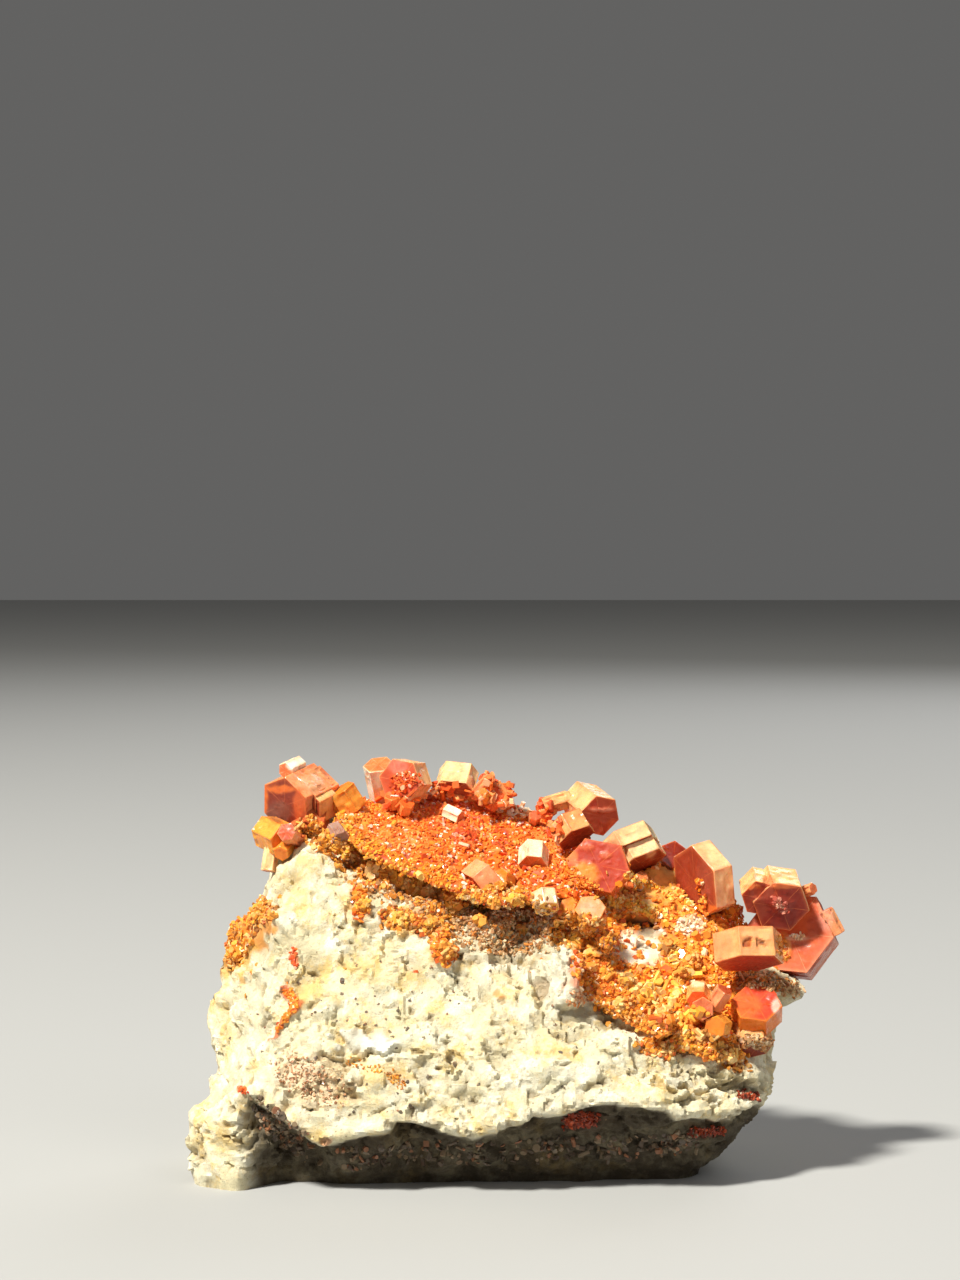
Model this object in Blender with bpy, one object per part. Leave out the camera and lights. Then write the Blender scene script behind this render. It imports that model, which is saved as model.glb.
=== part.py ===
"""Vanadinite on matrix: a block of pale broken rock, resting on a flat break, whose sloping top carries a
shelf of small red crystals, a yellow crust and some forty larger six-sided crystals.

Sizes are in millimetres until a mesh is made. +X runs along the block, +Y to its back, +Z up, and the
origin is under the middle of the block, on the face it rests on."""

import math
import random
from typing import NamedTuple

import bmesh
import bpy
from mathutils import Matrix, Vector, noise

MM = 0.001
GAP = 0.3  # left between any two pieces
SIDES = 6  # every crystal is a six-sided prism

MIDDLE = Vector((0.93, 0.17, 0))  # of the whole specimen, which the origin is under
ROCK_VOXEL = 0.85
ROCK_TRIANGLES = 3600
ROCK_SEED = Vector((3.7, 1.9, 8.2))

# The rock is the union of these lumps, each the hull of its corner points. Points under z = 0 are cut
# off flat at the end, which leaves the face that the rock rests on.
MAIN_BLOCK = [
    # foot
    (-34, -8, -3), (-30, -12.5, -3), (-22, -11.4, -3), (-6, -10.2, -3), (8, -10, -3), (16.5, -10, -3),
    (19.5, -2, -3), (15.5, 13, -3), (0, 17, -3), (-18, 16.5, -3), (-29, 11, -3), (-34, 1, -3),
    # lower front edge, which overhangs the foot
    (-29, -16.5, 10.4), (-23, -18.8, 7), (-14, -19.8, 6.9), (-5, -20, 7.2), (3, -19.8, 8.4),
    (10.5, -19.6, 10.4), (17, -18.8, 9.8), (22.5, -17, 8.4),
    # right end
    (23, -11.5, 2.6), (25, -11.5, 5.2), (28.6, -12, 8.6), (30, -8, 10), (28.4, -8.5, 13.6),
    (30.5, 3, 10), (26, 9.5, 4.5), (31, 4, 18), (28, 10, 15),
    # left end
    (-35.4, -1, 18), (-34.9, -4, 11), (-32, 4, 24), (-32.5, 10, 17), (-28.8, 3, 28),
    # shoulder between the left end and the front
    (-26.6, -9, 29.6), (-25.4, -12, 24.5), (-26.4, -14.6, 17),
    # upper front edge
    (-27.2, -5.5, 33.6), (-19, -6.5, 34.5), (-10.5, -7.5, 31), (-1, -8.5, 28.5), (5.5, -11, 22.5),
    (12.5, -13, 18.2), (19, -14, 15.2), (26, -12, 13.2),
    # back edge of the top
    (-27, 4.6, 38.6), (-19.5, 9.4, 41), (-10, 11.4, 41.9), (-1, 11.4, 41.2), (5, 10.8, 39.2), (11, 9.6, 36.6),
    (18, 8.6, 33.8), (24, 7.4, 31.4), (29.5, 5, 27.5),
    # back
    (-27, 12, 30), (-18, 18, 28.5), (-2, 20, 27), (13, 18, 24), (25, 12, 20), (2, 19.6, 10), (-20, 18.6, 12),
]
LEFT_LOBE = [
    (-38.2, -12, 4.4), (-37.6, -10.8, 6.4), (-36.2, -8.6, 8.6), (-36.6, -12.8, 2), (-35.4, -11.2, -3),
    (-34.6, -4, 12), (-29.6, -16.9, 11), (-28.2, -17.8, 7), (-28.2, -17.4, 2.4), (-29.4, -15.4, -3),
    (-33, -15, -3), (-34, -15, 3.4), (-29, -5, -3), (-30.5, -8, 14), (-26.5, -10, 2),
]
RIGHT_TONGUE = [
    (35, -3.4, 19.6), (33.8, -4.8, 21.4), (32, -4.6, 19.8), (35.2, 1.4, 20.4), (34, 4.6, 22.6),
    (28, -7, 19.4), (27, 5, 16.6), (26, -4, 23.6), (29, 4, 26),
]
UPPER_SHOULDER = [
    (-27.6, -1, 34.4), (-27.2, -6.2, 33.4), (-22, -7.8, 32), (-20.5, -4, 38.4), (-26.6, 1, 38.6), (-22, 5, 36),
    (-27.8, -5, 30.5), (-24, -9.6, 29.5),
]
WHITE_LUMP = [
    (2.6, -11.6, 26.4), (4.6, -13.4, 28), (7.8, -12.8, 28.2), (8.4, -14.8, 24.6), (7.8, -14.2, 21.4),
    (5, -14.8, 20.6), (3.4, -13.6, 23), (4, -8, 22), (8, -8, 25),
]
LOWER_LUMP = [
    (10, -15.6, 18.4), (12.6, -16.4, 19.2), (15.4, -16.2, 17.6), (15, -17.2, 15.6), (10.6, -17.6, 15.4),
    (12, -11, 16), (14, -11, 18),
]
LEFT_LUMPS = [((-28.9, 1.5, 29.6), 2.0), ((-30.6, 1, 28), 2.1), ((-32.2, 0.5, 26), 2.0), ((-32.8, 0, 24), 1.5)]
FRONT_SHELF = [
    (-21, -7.6, 31.6), (-14, -9.6, 29.4), (-8.6, -10.8, 27.4), (-1.4, -11.2, 26), (-1, -8, 29.6), (-10, -7, 31.5),
    (-20, -6, 34), (-12, -4, 28),
]

# Hollows cut from the rock, given the same way.
NICHE = [
    (-27.4, -21, 9.4), (-26.8, -14.4, 7.6), (-20.6, -21, 5.2), (-21, -15, 4), (-27.6, -21, -3), (-27, -13, -3),
    (-19, -21, -3), (-20, -13.4, -3),
]
END_POCKET = [
    (20.6, -19, 12.4), (27, -15, 11.6), (26.6, -12, 10.4), (21.6, -14.4, 10), (24, -19, 9.4), (28.6, -15, 9.6),
]
LUMP_CAVITY = [
    (1.6, -14.4, 24.8), (3.4, -14.6, 24.4), (3.6, -12, 22.2), (1.8, -11.2, 21.6), (2.2, -14.6, 21), (3.8, -15, 21.4),
]
LUMP_SHADOW = [
    (7.4, -16.4, 21.4), (12.4, -15.6, 21), (12.6, -12.6, 19.6), (8, -12.8, 20), (9, -17, 19.8), (12, -17, 19.6),
]
FRONT_NOTCH = [
    (-13.4, -21, 8), (-11, -21, 8.4), (-11.6, -17.8, 6.8), (-13.2, -18, 6.6), (-13.6, -21, 5), (-10.6, -21, 5.4),
]

# The shelf of small crystals, from its overhanging front edge to the top's back edge, left to right.
PLATE_FRONT = [
    (-20.4, -2.6, 40.6), (-19.2, -5.4, 39.4), (-16.2, -6.8, 37.2), (-13.4, -7.6, 35.9), (-10.6, -8.2, 34.8),
    (-6.8, -8.8, 33.4), (-3.2, -9.2, 32.2), (-0.6, -9.2, 31.6), (2.6, -7.6, 31.9), (5.6, -6.6, 32.4), (9.4, -5.2, 31.8),
]
PLATE_BACK = [
    (-20, 4.4, 41.4), (-18.8, 6.8, 41.8), (-16, 8.4, 42.2), (-13, 9.4, 42.6), (-9.6, 10, 42.8),
    (-6, 10.2, 42.6), (-2.6, 10, 42), (0, 9.8, 41.4), (3, 9.4, 40.2), (6, 8.8, 39), (9.6, 7.8, 37.2),
]
PLATE = (PLATE_FRONT, PLATE_BACK, (20, 10), 1.7, 0.42, 0.0)  # with its grid, thickness, bumps and ledge

# The yellow crust on the right slope, given the same way.
CRUST_FRONT = [
    (7.4, -11.6, 22.6), (10.6, -12.4, 20.6), (13.8, -13.4, 18.6), (17, -14.4, 16.8), (20.2, -14.6, 15.6),
    (23.2, -13.8, 14.8), (26.4, -11.8, 14.8),
]
CRUST_BACK = [
    (11.2, 7.4, 36.2), (13.4, 7.2, 35.4), (16, 7, 34.4), (18.8, 6.8, 33.6), (21.6, 6.4, 32.8),
    (24.4, 6, 31.6), (27.4, 5, 29.4),
]
CRUST = (CRUST_FRONT, CRUST_BACK, (15, 14), 1.8, 0.5, 1.0)
RIM_SHARE = 0.5  # thickness of a slab's front edge, as a share of the whole
RIM_ROWS = 3  # rows over which it reaches its whole thickness
LEDGE_AWAY = 0.64  # share of the way to the back at which a ledge begins
CLEARANCE_BELOW = 3.0  # how much more a slab clears the rock under it, which slopes
SLAB_HEADROOM = 5.0  # how far a slab's cutter clears the rock above it


class Crystal(NamedTuple):
    """A six-sided prism. Its axis points to heading, measured from straight ahead and positive to the right,
    and to tilt above level. Its first face looks as far up as it can until spin turns it about the axis.
    press is how far that face and the one opposite stand from the axis, as a share of the other faces' way."""

    place: tuple
    heading: float
    tilt: float
    spin: float
    radius: float
    length: float
    press: float = 1.0


CRYSTALS = {
    "left_cluster": [
        Crystal((-24.9, 3.2, 42.4), -36, -14, 42, 3.6, 5.6),
        Crystal((-23.9, 3.6, 42.5), -36, -14, 42, 3.3, 4.6),
        Crystal((-25.7, 3.0, 46.0), -36, -14, 42, 1.15, 2.7),
        Crystal((-23.4, 2.6, 41.8), -36, -14, 42, 2.8, 3.2),
        Crystal((-23.6, 1.4, 39.4), -10, -40, 30, 2.3, 3.2),
        Crystal((-19.4, 3.2, 42.2), -70, 58, 0, 1.9, 3.0),
        Crystal((-27.5, -0.4, 38.3), -143, 11, 54, 2.1, 4.2),
        Crystal((-25.5, -2.6, 38.5), -15, 20, 50, 1.2, 3.6),
        Crystal((-28.0, -1.2, 35.9), -30, -75, 30, 0.95, 3.4),
        Crystal((-26.2, -2.0, 37.0), -20, -20, 30, 1.0, 3.0),
    ],
    "small_grey_crystal": [Crystal((-20.1, -4.6, 38.9), 30, -30, 40, 1.15, 2.2)],
    "top_tabular_pair": [
        Crystal((-12.4, 5.0, 44.3), -24, 4, 8, 2.8, 3.4),
        Crystal((-15.3, 7.4, 43.8), -20, 62, 45, 1.9, 5.4),
        Crystal((-13.8, 3.4, 42.1), -10, 60, 30, 1.1, 1.6),
        Crystal((-12.4, 2.8, 41.4), 20, 45, 10, 1.0, 1.6),
    ],
    "top_cream_block": [
        Crystal((-6.4, 7.3, 44.2), -14, -40, 7, 2.4, 3.4, 0.7),
        Crystal((-3.4, 5.6, 43.6), 60, 45, 30, 0.75, 3.6),
        Crystal((-2.8, 4.8, 42.2), -30, 30, 40, 0.8, 3.0),
        Crystal((-1.2, 6.8, 42.5), 10, 10, 0, 1.5, 3.2),
        Crystal((-2.6, 6.6, 43.9), -50, 40, 30, 0.7, 2.6),
    ],
    "plate_white_block": [Crystal((-6.8, 4.5, 40.4), 60, -20, 20, 0.95, 2.2)],
    "plate_ring_block": [Crystal((2.8, 6.8, 39.6), 10, 35, 30, 0.8, 1.8)],
    "plate_cream_block": [Crystal((2.6, -0.8, 35.8), -4, -36, 7, 1.8, 3.0)],
    "plate_pink_block": [
        Crystal((-3.1, -5.4, 33.2), -68, -36, 11, 2.9, 2.5),
        Crystal((-0.8, -5.3, 33.8), -30, 20, 30, 1.05, 2.2),
    ],
    "yellow_clear_block": [Crystal((3.8, -9.3, 31.7), 12, -53, 10, 1.6, 2.1)],
    "middle_orange_pair": [
        Crystal((9.0, -7.9, 29.9), -3, 34, 54, 1.85, 3.4),
        Crystal((7.0, -7.6, 30.4), -30, 24, 40, 1.3, 2.6),
    ],
    "small_purple_crystal": [Crystal((10.8, -8.8, 26.9), 20, 10, 30, 0.9, 2.0)],
    "middle_tan_clump": [
        Crystal((9.4, 4.4, 41.1), 23, -14, 13, 2.65, 5.6),
        Crystal((5.3, 4.8, 41.7), -68, -14, 0, 1.15, 3.6),
        Crystal((7.1, 1.2, 38.9), 42, -49, 38, 2.5, 2.6),
    ],
    "middle_red_block": [Crystal((10.2, -2.7, 34.8), -9, 18, 10, 3.85, 2.5, 0.87)],
    "notched_cream_block": [
        Crystal((13.7, 4.2, 36.6), 46, -52, 31, 4.05, 2.1),
        Crystal((14.5, 4.15, 36.1), 46, -52, 31, 3.5, 4.1),
    ],
    "slope_cream_block": [Crystal((15.2, 2.0, 32.7), 20, 50, 30, 0.8, 1.9)],
    "red_behind_block": [Crystal((19.2, 7.6, 34.9), 10, 20, 40, 1.8, 3.0)],
    "tall_wedge": [
        Crystal((22.7, 1.7, 32.9), -59, -11, 37, 4.65, 2.7),
    ],
    "right_clump": [
        Crystal((28.95, -1.2, 31.9), -1, -17, 12, 2.35, 4.2),
        Crystal((31.2, -1.0, 31.1), 3, -21, 9, 3.4, 4.4),
        Crystal((33.1, 2.2, 26.2), -15, 19, 4, 5.3, 4.2),
        Crystal((37.5, -0.4, 28.2), 80, -62, 30, 0.9, 3.2),
        Crystal((34.7, 1.0, 31.7), 40, 20, 30, 0.75, 2.2),
    ],
    "right_tan_block": [Crystal((27.0, -8.1, 26.1), 7, -68, 5, 4.1, 3.5)],
    "low_red_pair": [
        Crystal((27.8, -10.2, 19.3), -4, 50, 9, 2.95, 2.8),
        Crystal((27.4, -10.2, 16.4), 15, -46, 40, 2.1, 3.2),
    ],
    "low_small_group": [
        Crystal((21.1, -11.2, 21.2), -5, -15, 0, 1.35, 3.0),
        Crystal((23.4, -11.6, 20.9), 60, 55, 30, 1.1, 2.6),
        Crystal((21.5, -13.0, 19.8), -5, 15, 30, 1.35, 2.8),
        Crystal((23.2, -13.4, 18.0), -20, 5, 40, 1.35, 3.0),
    ],
    "low_left_block": [Crystal((16.8, -14.2, 18.0), -20, 12, 30, 1.4, 3.0)],
    "back_left_block": [Crystal((-18.0, 14.2, 37.2), 165, 30, 42, 2.6, 4.4)],
    "back_middle_pair": [
        Crystal((-3.6, 15.0, 36.6), 190, 34, 34, 3.0, 4.6),
        Crystal((0.2, 14.0, 36.8), 150, 48, 50, 1.9, 3.8),
    ],
    "back_right_block": [Crystal((14.6, 12.8, 32.2), 200, 36, 56, 2.5, 4.2)],
    "back_low_block": [Crystal((24.2, 10.6, 26.4), 140, 26, 38, 2.0, 3.8)],
}

# Base colour and roughness of each finish.
FINISHES = {
    "pale_rock": ((0.80, 0.74, 0.55), 0.85),
    "red_druse": ((0.72, 0.16, 0.05), 0.35),
    "yellow_crust": ((0.78, 0.40, 0.09), 0.55),
    "red_crystal": ((0.60, 0.15, 0.08), 0.25),
    "tan_crystal": ((0.82, 0.50, 0.24), 0.25),
    "orange_crystal": ((0.85, 0.33, 0.06), 0.25),
    "grey_crystal": ((0.40, 0.29, 0.26), 0.25),
}
FINISH_OF = {
    "small_grey_crystal": "grey_crystal",
    "top_cream_block": "tan_crystal",
    "plate_white_block": "tan_crystal",
    "plate_cream_block": "tan_crystal",
    "yellow_clear_block": "orange_crystal",
    "middle_orange_pair": "orange_crystal",
    "small_purple_crystal": "grey_crystal",
    "middle_tan_clump": "tan_crystal",
    "slope_cream_block": "tan_crystal",
    "notched_cream_block": "tan_crystal",
    "right_tan_block": "tan_crystal",
    "low_small_group": "orange_crystal",
    "low_left_block": "orange_crystal",
}


def clear_scene():
    for thing in list(bpy.data.objects):
        bpy.data.objects.remove(thing, do_unlink=True)


def finish(name):
    """The material of this name, made the first time that it is asked for."""
    material = bpy.data.materials.get(name)
    if material is None:
        material = bpy.data.materials.new(name)
        material.use_nodes = True
        shader = material.node_tree.nodes["Principled BSDF"]
        color, roughness = FINISHES[name]
        shader.inputs["Base Color"].default_value = (*color, 1)
        shader.inputs["Roughness"].default_value = roughness
        shader.inputs["Metallic"].default_value = 0
    return material


def mesh_object(name, bm):
    """An object in metres from a mesh in millimetres."""
    bmesh.ops.recalc_face_normals(bm, faces=bm.faces)
    bm.transform(Matrix.Scale(MM, 4))
    mesh = bpy.data.meshes.new(name)
    bm.to_mesh(mesh)
    bm.free()
    thing = bpy.data.objects.new(name, mesh)
    bpy.context.scene.collection.objects.link(thing)
    return thing


def apply_modifiers(thing):
    bpy.context.view_layer.update()
    graph = bpy.context.evaluated_depsgraph_get()
    mesh = bpy.data.meshes.new_from_object(thing.evaluated_get(graph))
    thing.modifiers.clear()
    thing.data = mesh


def combine(thing, tool, operation):
    """Joins tool to the thing, or cuts it out of it, and removes the tool."""
    modifier = thing.modifiers.new("combine", "BOOLEAN")
    modifier.object = tool
    modifier.operation = operation
    modifier.solver = "EXACT"
    apply_modifiers(thing)
    bpy.data.objects.remove(tool, do_unlink=True)


def add_hull(bm, points):
    corners = [bm.verts.new(point) for point in points]
    made = bmesh.ops.convex_hull(bm, input=corners)
    unused = set(made["geom_interior"]) | set(made["geom_unused"])
    bmesh.ops.delete(bm, geom=[g for g in unused if isinstance(g, bmesh.types.BMVert)], context="VERTS")


def hull_object(name, points):
    bm = bmesh.new()
    add_hull(bm, points)
    return mesh_object(name, bm)


# Rock


def remesh(thing, voxel):
    modifier = thing.modifiers.new("remesh", "REMESH")
    modifier.mode = "VOXEL"
    modifier.voxel_size = voxel * MM
    apply_modifiers(thing)


def rock_lumps():
    """All the lumps in one mesh, still overlapping."""
    bm = bmesh.new()
    for points in (MAIN_BLOCK, LEFT_LOBE, RIGHT_TONGUE, UPPER_SHOULDER, WHITE_LUMP, LOWER_LUMP, FRONT_SHELF):
        add_hull(bm, points)
    for centre, radius in LEFT_LUMPS:
        bmesh.ops.create_icosphere(bm, subdivisions=2, radius=radius, matrix=Matrix.Translation(centre))
    return mesh_object("matrix", bm)


def roughness_at(point):
    """How far the broken surface stands out at this point, in millimetres."""
    place = point / MM + ROCK_SEED
    broad = noise.noise(place * 0.11) * 1.1
    chipped = noise.voronoi(place * 0.22)[0]
    flakes = noise.noise(Vector((place.x * 0.2, place.y * 0.2, place.z * 0.8))) * 0.4
    return broad + (chipped[1] - chipped[0]) * 0.9 - 0.5 + flakes


def break_surface(thing):
    mesh = thing.data
    normals = [vertex.normal.copy() for vertex in mesh.vertices]
    for vertex, normal in zip(mesh.vertices, normals):
        vertex.co += normal * roughness_at(vertex.co) * MM


def thin_out(thing, triangles):
    modifier = thing.modifiers.new("thin", "DECIMATE")
    modifier.ratio = triangles / (2 * len(thing.data.polygons))
    apply_modifiers(thing)


def cut_flat(thing):
    """Cuts off what is under z = 0."""
    bm = bmesh.new()
    bm.from_mesh(thing.data)
    everything = bm.verts[:] + bm.edges[:] + bm.faces[:]
    cut = bmesh.ops.bisect_plane(
        bm, geom=everything, plane_co=(0, 0, 0), plane_no=(0, 0, 1), clear_inner=True
    )
    rim = [g for g in cut["geom_cut"] if isinstance(g, bmesh.types.BMEdge)]
    bmesh.ops.contextual_create(bm, geom=rim)
    bmesh.ops.triangulate(bm, faces=bm.faces)
    bm.to_mesh(thing.data)
    bm.free()


def make_rock():
    rock = rock_lumps()
    remesh(rock, ROCK_VOXEL)
    for hollow in (NICHE, END_POCKET, LUMP_CAVITY, LUMP_SHADOW, FRONT_NOTCH):
        combine(rock, hull_object("hollow", hollow), "DIFFERENCE")
    remesh(rock, ROCK_VOXEL)
    break_surface(rock)
    thin_out(rock, ROCK_TRIANGLES)
    cut_flat(rock)
    rock.data.materials.append(finish("pale_rock"))
    return rock


# Slabs of small crystals


def along(points, share):
    """The point at this share of the way along a line of evenly spaced points."""
    reach = share * (len(points) - 1)
    index = min(int(reach), len(points) - 2)
    return Vector(points[index]).lerp(Vector(points[index + 1]), reach - index)


def slab(name, front, back, grid, thickness, bump, ledge, clearance=0.0, headroom=0.0):
    """A closed sheet between two lines. Its upper side has bumps of the given height and, past the given
    share of the way to the back, a ledge. A clearance moves its sides and its lower side outward."""
    columns, rows = grid
    rng = random.Random(name)
    bm = bmesh.new()
    upper, lower = [], []
    for row in range(rows + 1):
        for column in range(columns + 1):
            across, away = column / columns, row / rows
            point = along(front, across).lerp(along(back, across), away)
            point.x += clearance * (2 * across - 1)
            point.y += clearance * (2 * away - 1)
            inner = 0 < row < rows and 0 < column < columns
            height = rng.uniform(-bump, bump) + ledge * (away > LEDGE_AWAY) if inner else 0
            upper.append(bm.verts.new(point + Vector((0, 0, headroom + height))))
            depth = thickness * (RIM_SHARE + (1 - RIM_SHARE) * min(1, away * rows / RIM_ROWS))
            lower.append(bm.verts.new(point - Vector((0, 0, depth + CLEARANCE_BELOW * clearance))))
    stride = columns + 1
    for row in range(rows):
        for column in range(columns):
            first = row * stride + column
            corners = (first, first + 1, first + stride + 1, first + stride)
            bm.faces.new([upper[i] for i in corners])
            bm.faces.new([lower[i] for i in reversed(corners)])
    rim = list(range(columns))
    rim += [row * stride + columns for row in range(rows)]
    rim += [rows * stride + column for column in range(columns, 0, -1)]
    rim += [row * stride for row in range(rows, 0, -1)]
    for here, there in zip(rim, rim[1:] + rim[:1]):
        bm.faces.new((upper[there], upper[here], lower[here], lower[there]))
    bmesh.ops.triangulate(bm, faces=bm.faces)
    return mesh_object(name, bm)


def room_for(slab_values):
    front, back, grid, thickness = slab_values[:4]
    return slab("room", front, back, grid, thickness, 0, 0, GAP, SLAB_HEADROOM)


def make_slab(name, slab_values, rock, material):
    """The slab, and the room for it in the rock."""
    combine(rock, room_for(slab_values), "DIFFERENCE")
    piece = slab(name, *slab_values)
    piece.data.materials.append(finish(material))
    return piece


# Crystals


def crystal_frame(crystal):
    """The matrix that takes a prism standing on the origin to its place."""
    heading, tilt = math.radians(crystal.heading), math.radians(crystal.tilt)
    axis = Vector((
        math.sin(heading) * math.cos(tilt),
        -math.cos(heading) * math.cos(tilt),
        math.sin(tilt),
    ))
    top = Vector((0, 0, 1))
    top = (top - axis * axis.dot(top)).normalized()
    side = top.cross(axis)
    turn = Matrix((side, top, axis)).transposed().to_4x4()
    spin = Matrix.Rotation(-math.radians(crystal.spin), 4, "Z")
    return Matrix.Translation(crystal.place) @ turn @ spin


def outline(radius, press):
    """The corners of a six-sided outline whose first face looks along +Y."""
    apothem = radius * math.cos(math.pi / SIDES)
    pressed = apothem * press
    shoulder = (2 * apothem - pressed) / math.sqrt(3)
    return [
        (radius, 0), (shoulder, pressed), (-shoulder, pressed),
        (-radius, 0), (-shoulder, -pressed), (shoulder, -pressed),
    ]


def prism(name, crystal, grow=0.0):
    """The crystal as a closed mesh, each of its faces moved outward by grow."""
    radius = crystal.radius + grow / math.cos(math.pi / SIDES)
    half = crystal.length / 2 + grow
    bm = bmesh.new()
    ends = [
        [bm.verts.new((x, y, height)) for x, y in outline(radius, crystal.press)]
        for height in (-half, half)
    ]
    bm.faces.new(ends[0])
    bm.faces.new(ends[1])
    for corner in range(SIDES):
        after = (corner + 1) % SIDES
        bm.faces.new((ends[0][corner], ends[0][after], ends[1][after], ends[1][corner]))
    bm.transform(crystal_frame(crystal))
    return mesh_object(name, bm)


def make_crystals(name, crystals):
    """One solid of all the crystals that have grown together."""
    piece = prism(name, crystals[0])
    for crystal in crystals[1:]:
        combine(piece, prism("next", crystal), "UNION")
    piece.data.materials.clear()
    piece.data.materials.append(finish(FINISH_OF.get(name, "red_crystal")))
    return piece


def box_of(thing):
    places = [vertex.co for vertex in thing.data.vertices]
    return [(min(p[axis] for p in places), max(p[axis] for p in places)) for axis in range(3)]


def boxes_meet(one, other):
    return all(a[0] < b[1] and b[0] < a[1] for a, b in zip(box_of(one), box_of(other)))


def make_room_for_crystals(piece):
    """Cuts the sockets of the crystals that the piece carries, each a gap wider than its crystal."""
    for crystals in CRYSTALS.values():
        for crystal in crystals:
            socket = prism("socket", crystal, GAP)
            if boxes_meet(piece, socket):
                combine(piece, socket, "DIFFERENCE")
            else:
                bpy.data.objects.remove(socket, do_unlink=True)


def centre_over_origin(things):
    for thing in things:
        thing.data.transform(Matrix.Translation(-MIDDLE * MM))


def main():
    clear_scene()
    rock = make_rock()
    plate = make_slab("druse_plate", PLATE, rock, "red_druse")
    crust = make_slab("yellow_crust", CRUST, rock, "yellow_crust")
    for name, crystals in CRYSTALS.items():
        make_crystals(name, crystals)
    for piece in (rock, plate, crust):
        make_room_for_crystals(piece)
    centre_over_origin(bpy.data.objects)


main()
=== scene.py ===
"""The looks of the vanadinite specimen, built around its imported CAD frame.

Sizes are in millimetres until a mesh is made, in the CAD's own frame: +X along the block, +Y to its back,
+Z up. Places on the front are given as pixels of a 960 x 1280 picture from the camera below, and each one is
found on the piece that carries it by looking along that pixel's ray."""

import math
import random
from typing import NamedTuple

import bmesh
import bpy
import numpy as np
from mathutils import Matrix, Vector, noise
from mathutils.bvhtree import BVHTree


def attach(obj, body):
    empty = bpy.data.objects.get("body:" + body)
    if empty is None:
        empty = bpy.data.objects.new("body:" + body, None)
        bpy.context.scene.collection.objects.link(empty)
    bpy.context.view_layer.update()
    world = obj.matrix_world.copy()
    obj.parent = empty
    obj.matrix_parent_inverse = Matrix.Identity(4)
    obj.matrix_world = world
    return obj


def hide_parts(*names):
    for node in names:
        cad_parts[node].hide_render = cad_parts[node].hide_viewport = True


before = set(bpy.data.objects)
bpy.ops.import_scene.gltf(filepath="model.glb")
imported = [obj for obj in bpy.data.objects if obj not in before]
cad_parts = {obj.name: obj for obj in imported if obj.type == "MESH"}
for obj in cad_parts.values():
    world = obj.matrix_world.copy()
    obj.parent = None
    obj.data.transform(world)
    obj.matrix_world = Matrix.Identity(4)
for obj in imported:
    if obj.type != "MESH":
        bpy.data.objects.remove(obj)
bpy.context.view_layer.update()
noise.seed_set(7)

MM = 0.001
SIDES = 6
WELD = 0.002  # how near two points of the CAD's meshes are that are one
MIDDLE = Vector((0.93, 0.17, 0))  # what the crystals' places are measured from, as in the CAD

# Camera

PICTURE = (960, 1280)
CAMERA_PLACE = Vector((-4.56, -352.47, 71.6))
CAMERA_DROP = math.radians(1.7)
LENS = 85
SENSOR = 36
PIXELS_PER_UNIT = LENS / SENSOR * PICTURE[1]
FORWARD = Vector((0, math.cos(CAMERA_DROP), -math.sin(CAMERA_DROP)))
UPWARD = Vector((0, math.sin(CAMERA_DROP), math.cos(CAMERA_DROP)))


def make_camera():
    camera = bpy.data.objects.new("camera", bpy.data.cameras.new("camera"))
    bpy.context.scene.collection.objects.link(camera)
    camera.location = CAMERA_PLACE * MM
    camera.rotation_euler = (math.pi / 2 - CAMERA_DROP, 0, 0)
    camera.data.lens = LENS
    camera.data.sensor_width = SENSOR
    camera.data.clip_start = 0.01
    bpy.context.scene.camera = camera


def ray_of(px, py):
    """The direction in which the camera sees a pixel."""
    across = (px - PICTURE[0] / 2) / PIXELS_PER_UNIT
    up = (PICTURE[1] / 2 - py) / PIXELS_PER_UNIT
    return (FORWARD + Vector((across, 0, 0)) + UPWARD * up).normalized()


def front_arrays(points, normals):
    """The pixels at which the camera sees many points, and how far each faces it, from 0 to 1."""
    seen = points - np.array(CAMERA_PLACE)
    depth = seen @ np.array(FORWARD)
    px = PICTURE[0] / 2 + PIXELS_PER_UNIT * seen[:, 0] / depth
    py = PICTURE[1] / 2 - PIXELS_PER_UNIT * (seen @ np.array(UPWARD)) / depth
    facing = -(normals * seen).sum(1) / np.linalg.norm(seen, axis=1)
    return px, py, np.clip((facing + 0.05) / 0.25, 0, 1)


# Small helpers


def smooth(low, high, value):
    """0 up to low, 1 from high on, and a smooth change between, for a number or for many."""
    share = np.minimum(1, np.maximum(0, (value - low) / (high - low)))
    return share * share * (3 - 2 * share)


def mix(one, other, share):
    return tuple(a + (b - a) * share for a, b in zip(one, other))


# Meshes


def new_object(name, mesh):
    thing = bpy.data.objects.new(name, mesh)
    bpy.context.scene.collection.objects.link(thing)
    return thing


def modify(thing, kind, **settings):
    """Changes a mesh as a modifier with these settings does."""
    modifier = thing.modifiers.new(kind, kind)
    for name, value in settings.items():
        setattr(modifier, name, value)
    bpy.context.view_layer.update()
    graph = bpy.context.evaluated_depsgraph_get()
    mesh = bpy.data.meshes.new_from_object(thing.evaluated_get(graph))
    thing.modifiers.clear()
    thing.data = mesh


def remesh(thing, voxel):
    modify(thing, "REMESH", mode="VOXEL", voxel_size=voxel * MM, use_smooth_shade=True)


def copy_of_nodes(name, *nodes):
    """One object with the welded meshes of CAD nodes."""
    bm = bmesh.new()
    for node in nodes:
        bm.from_mesh(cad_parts[node].data)
    bmesh.ops.remove_doubles(bm, verts=bm.verts, dist=WELD * MM)
    mesh = bpy.data.meshes.new(name)
    bm.to_mesh(mesh)
    bm.free()
    return new_object(name, mesh)


def join(first, *others):
    """The first object with the meshes of the others."""
    with bpy.context.temp_override(active_object=first, selected_editable_objects=[first, *others]):
        bpy.ops.object.join()
    return first


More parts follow.
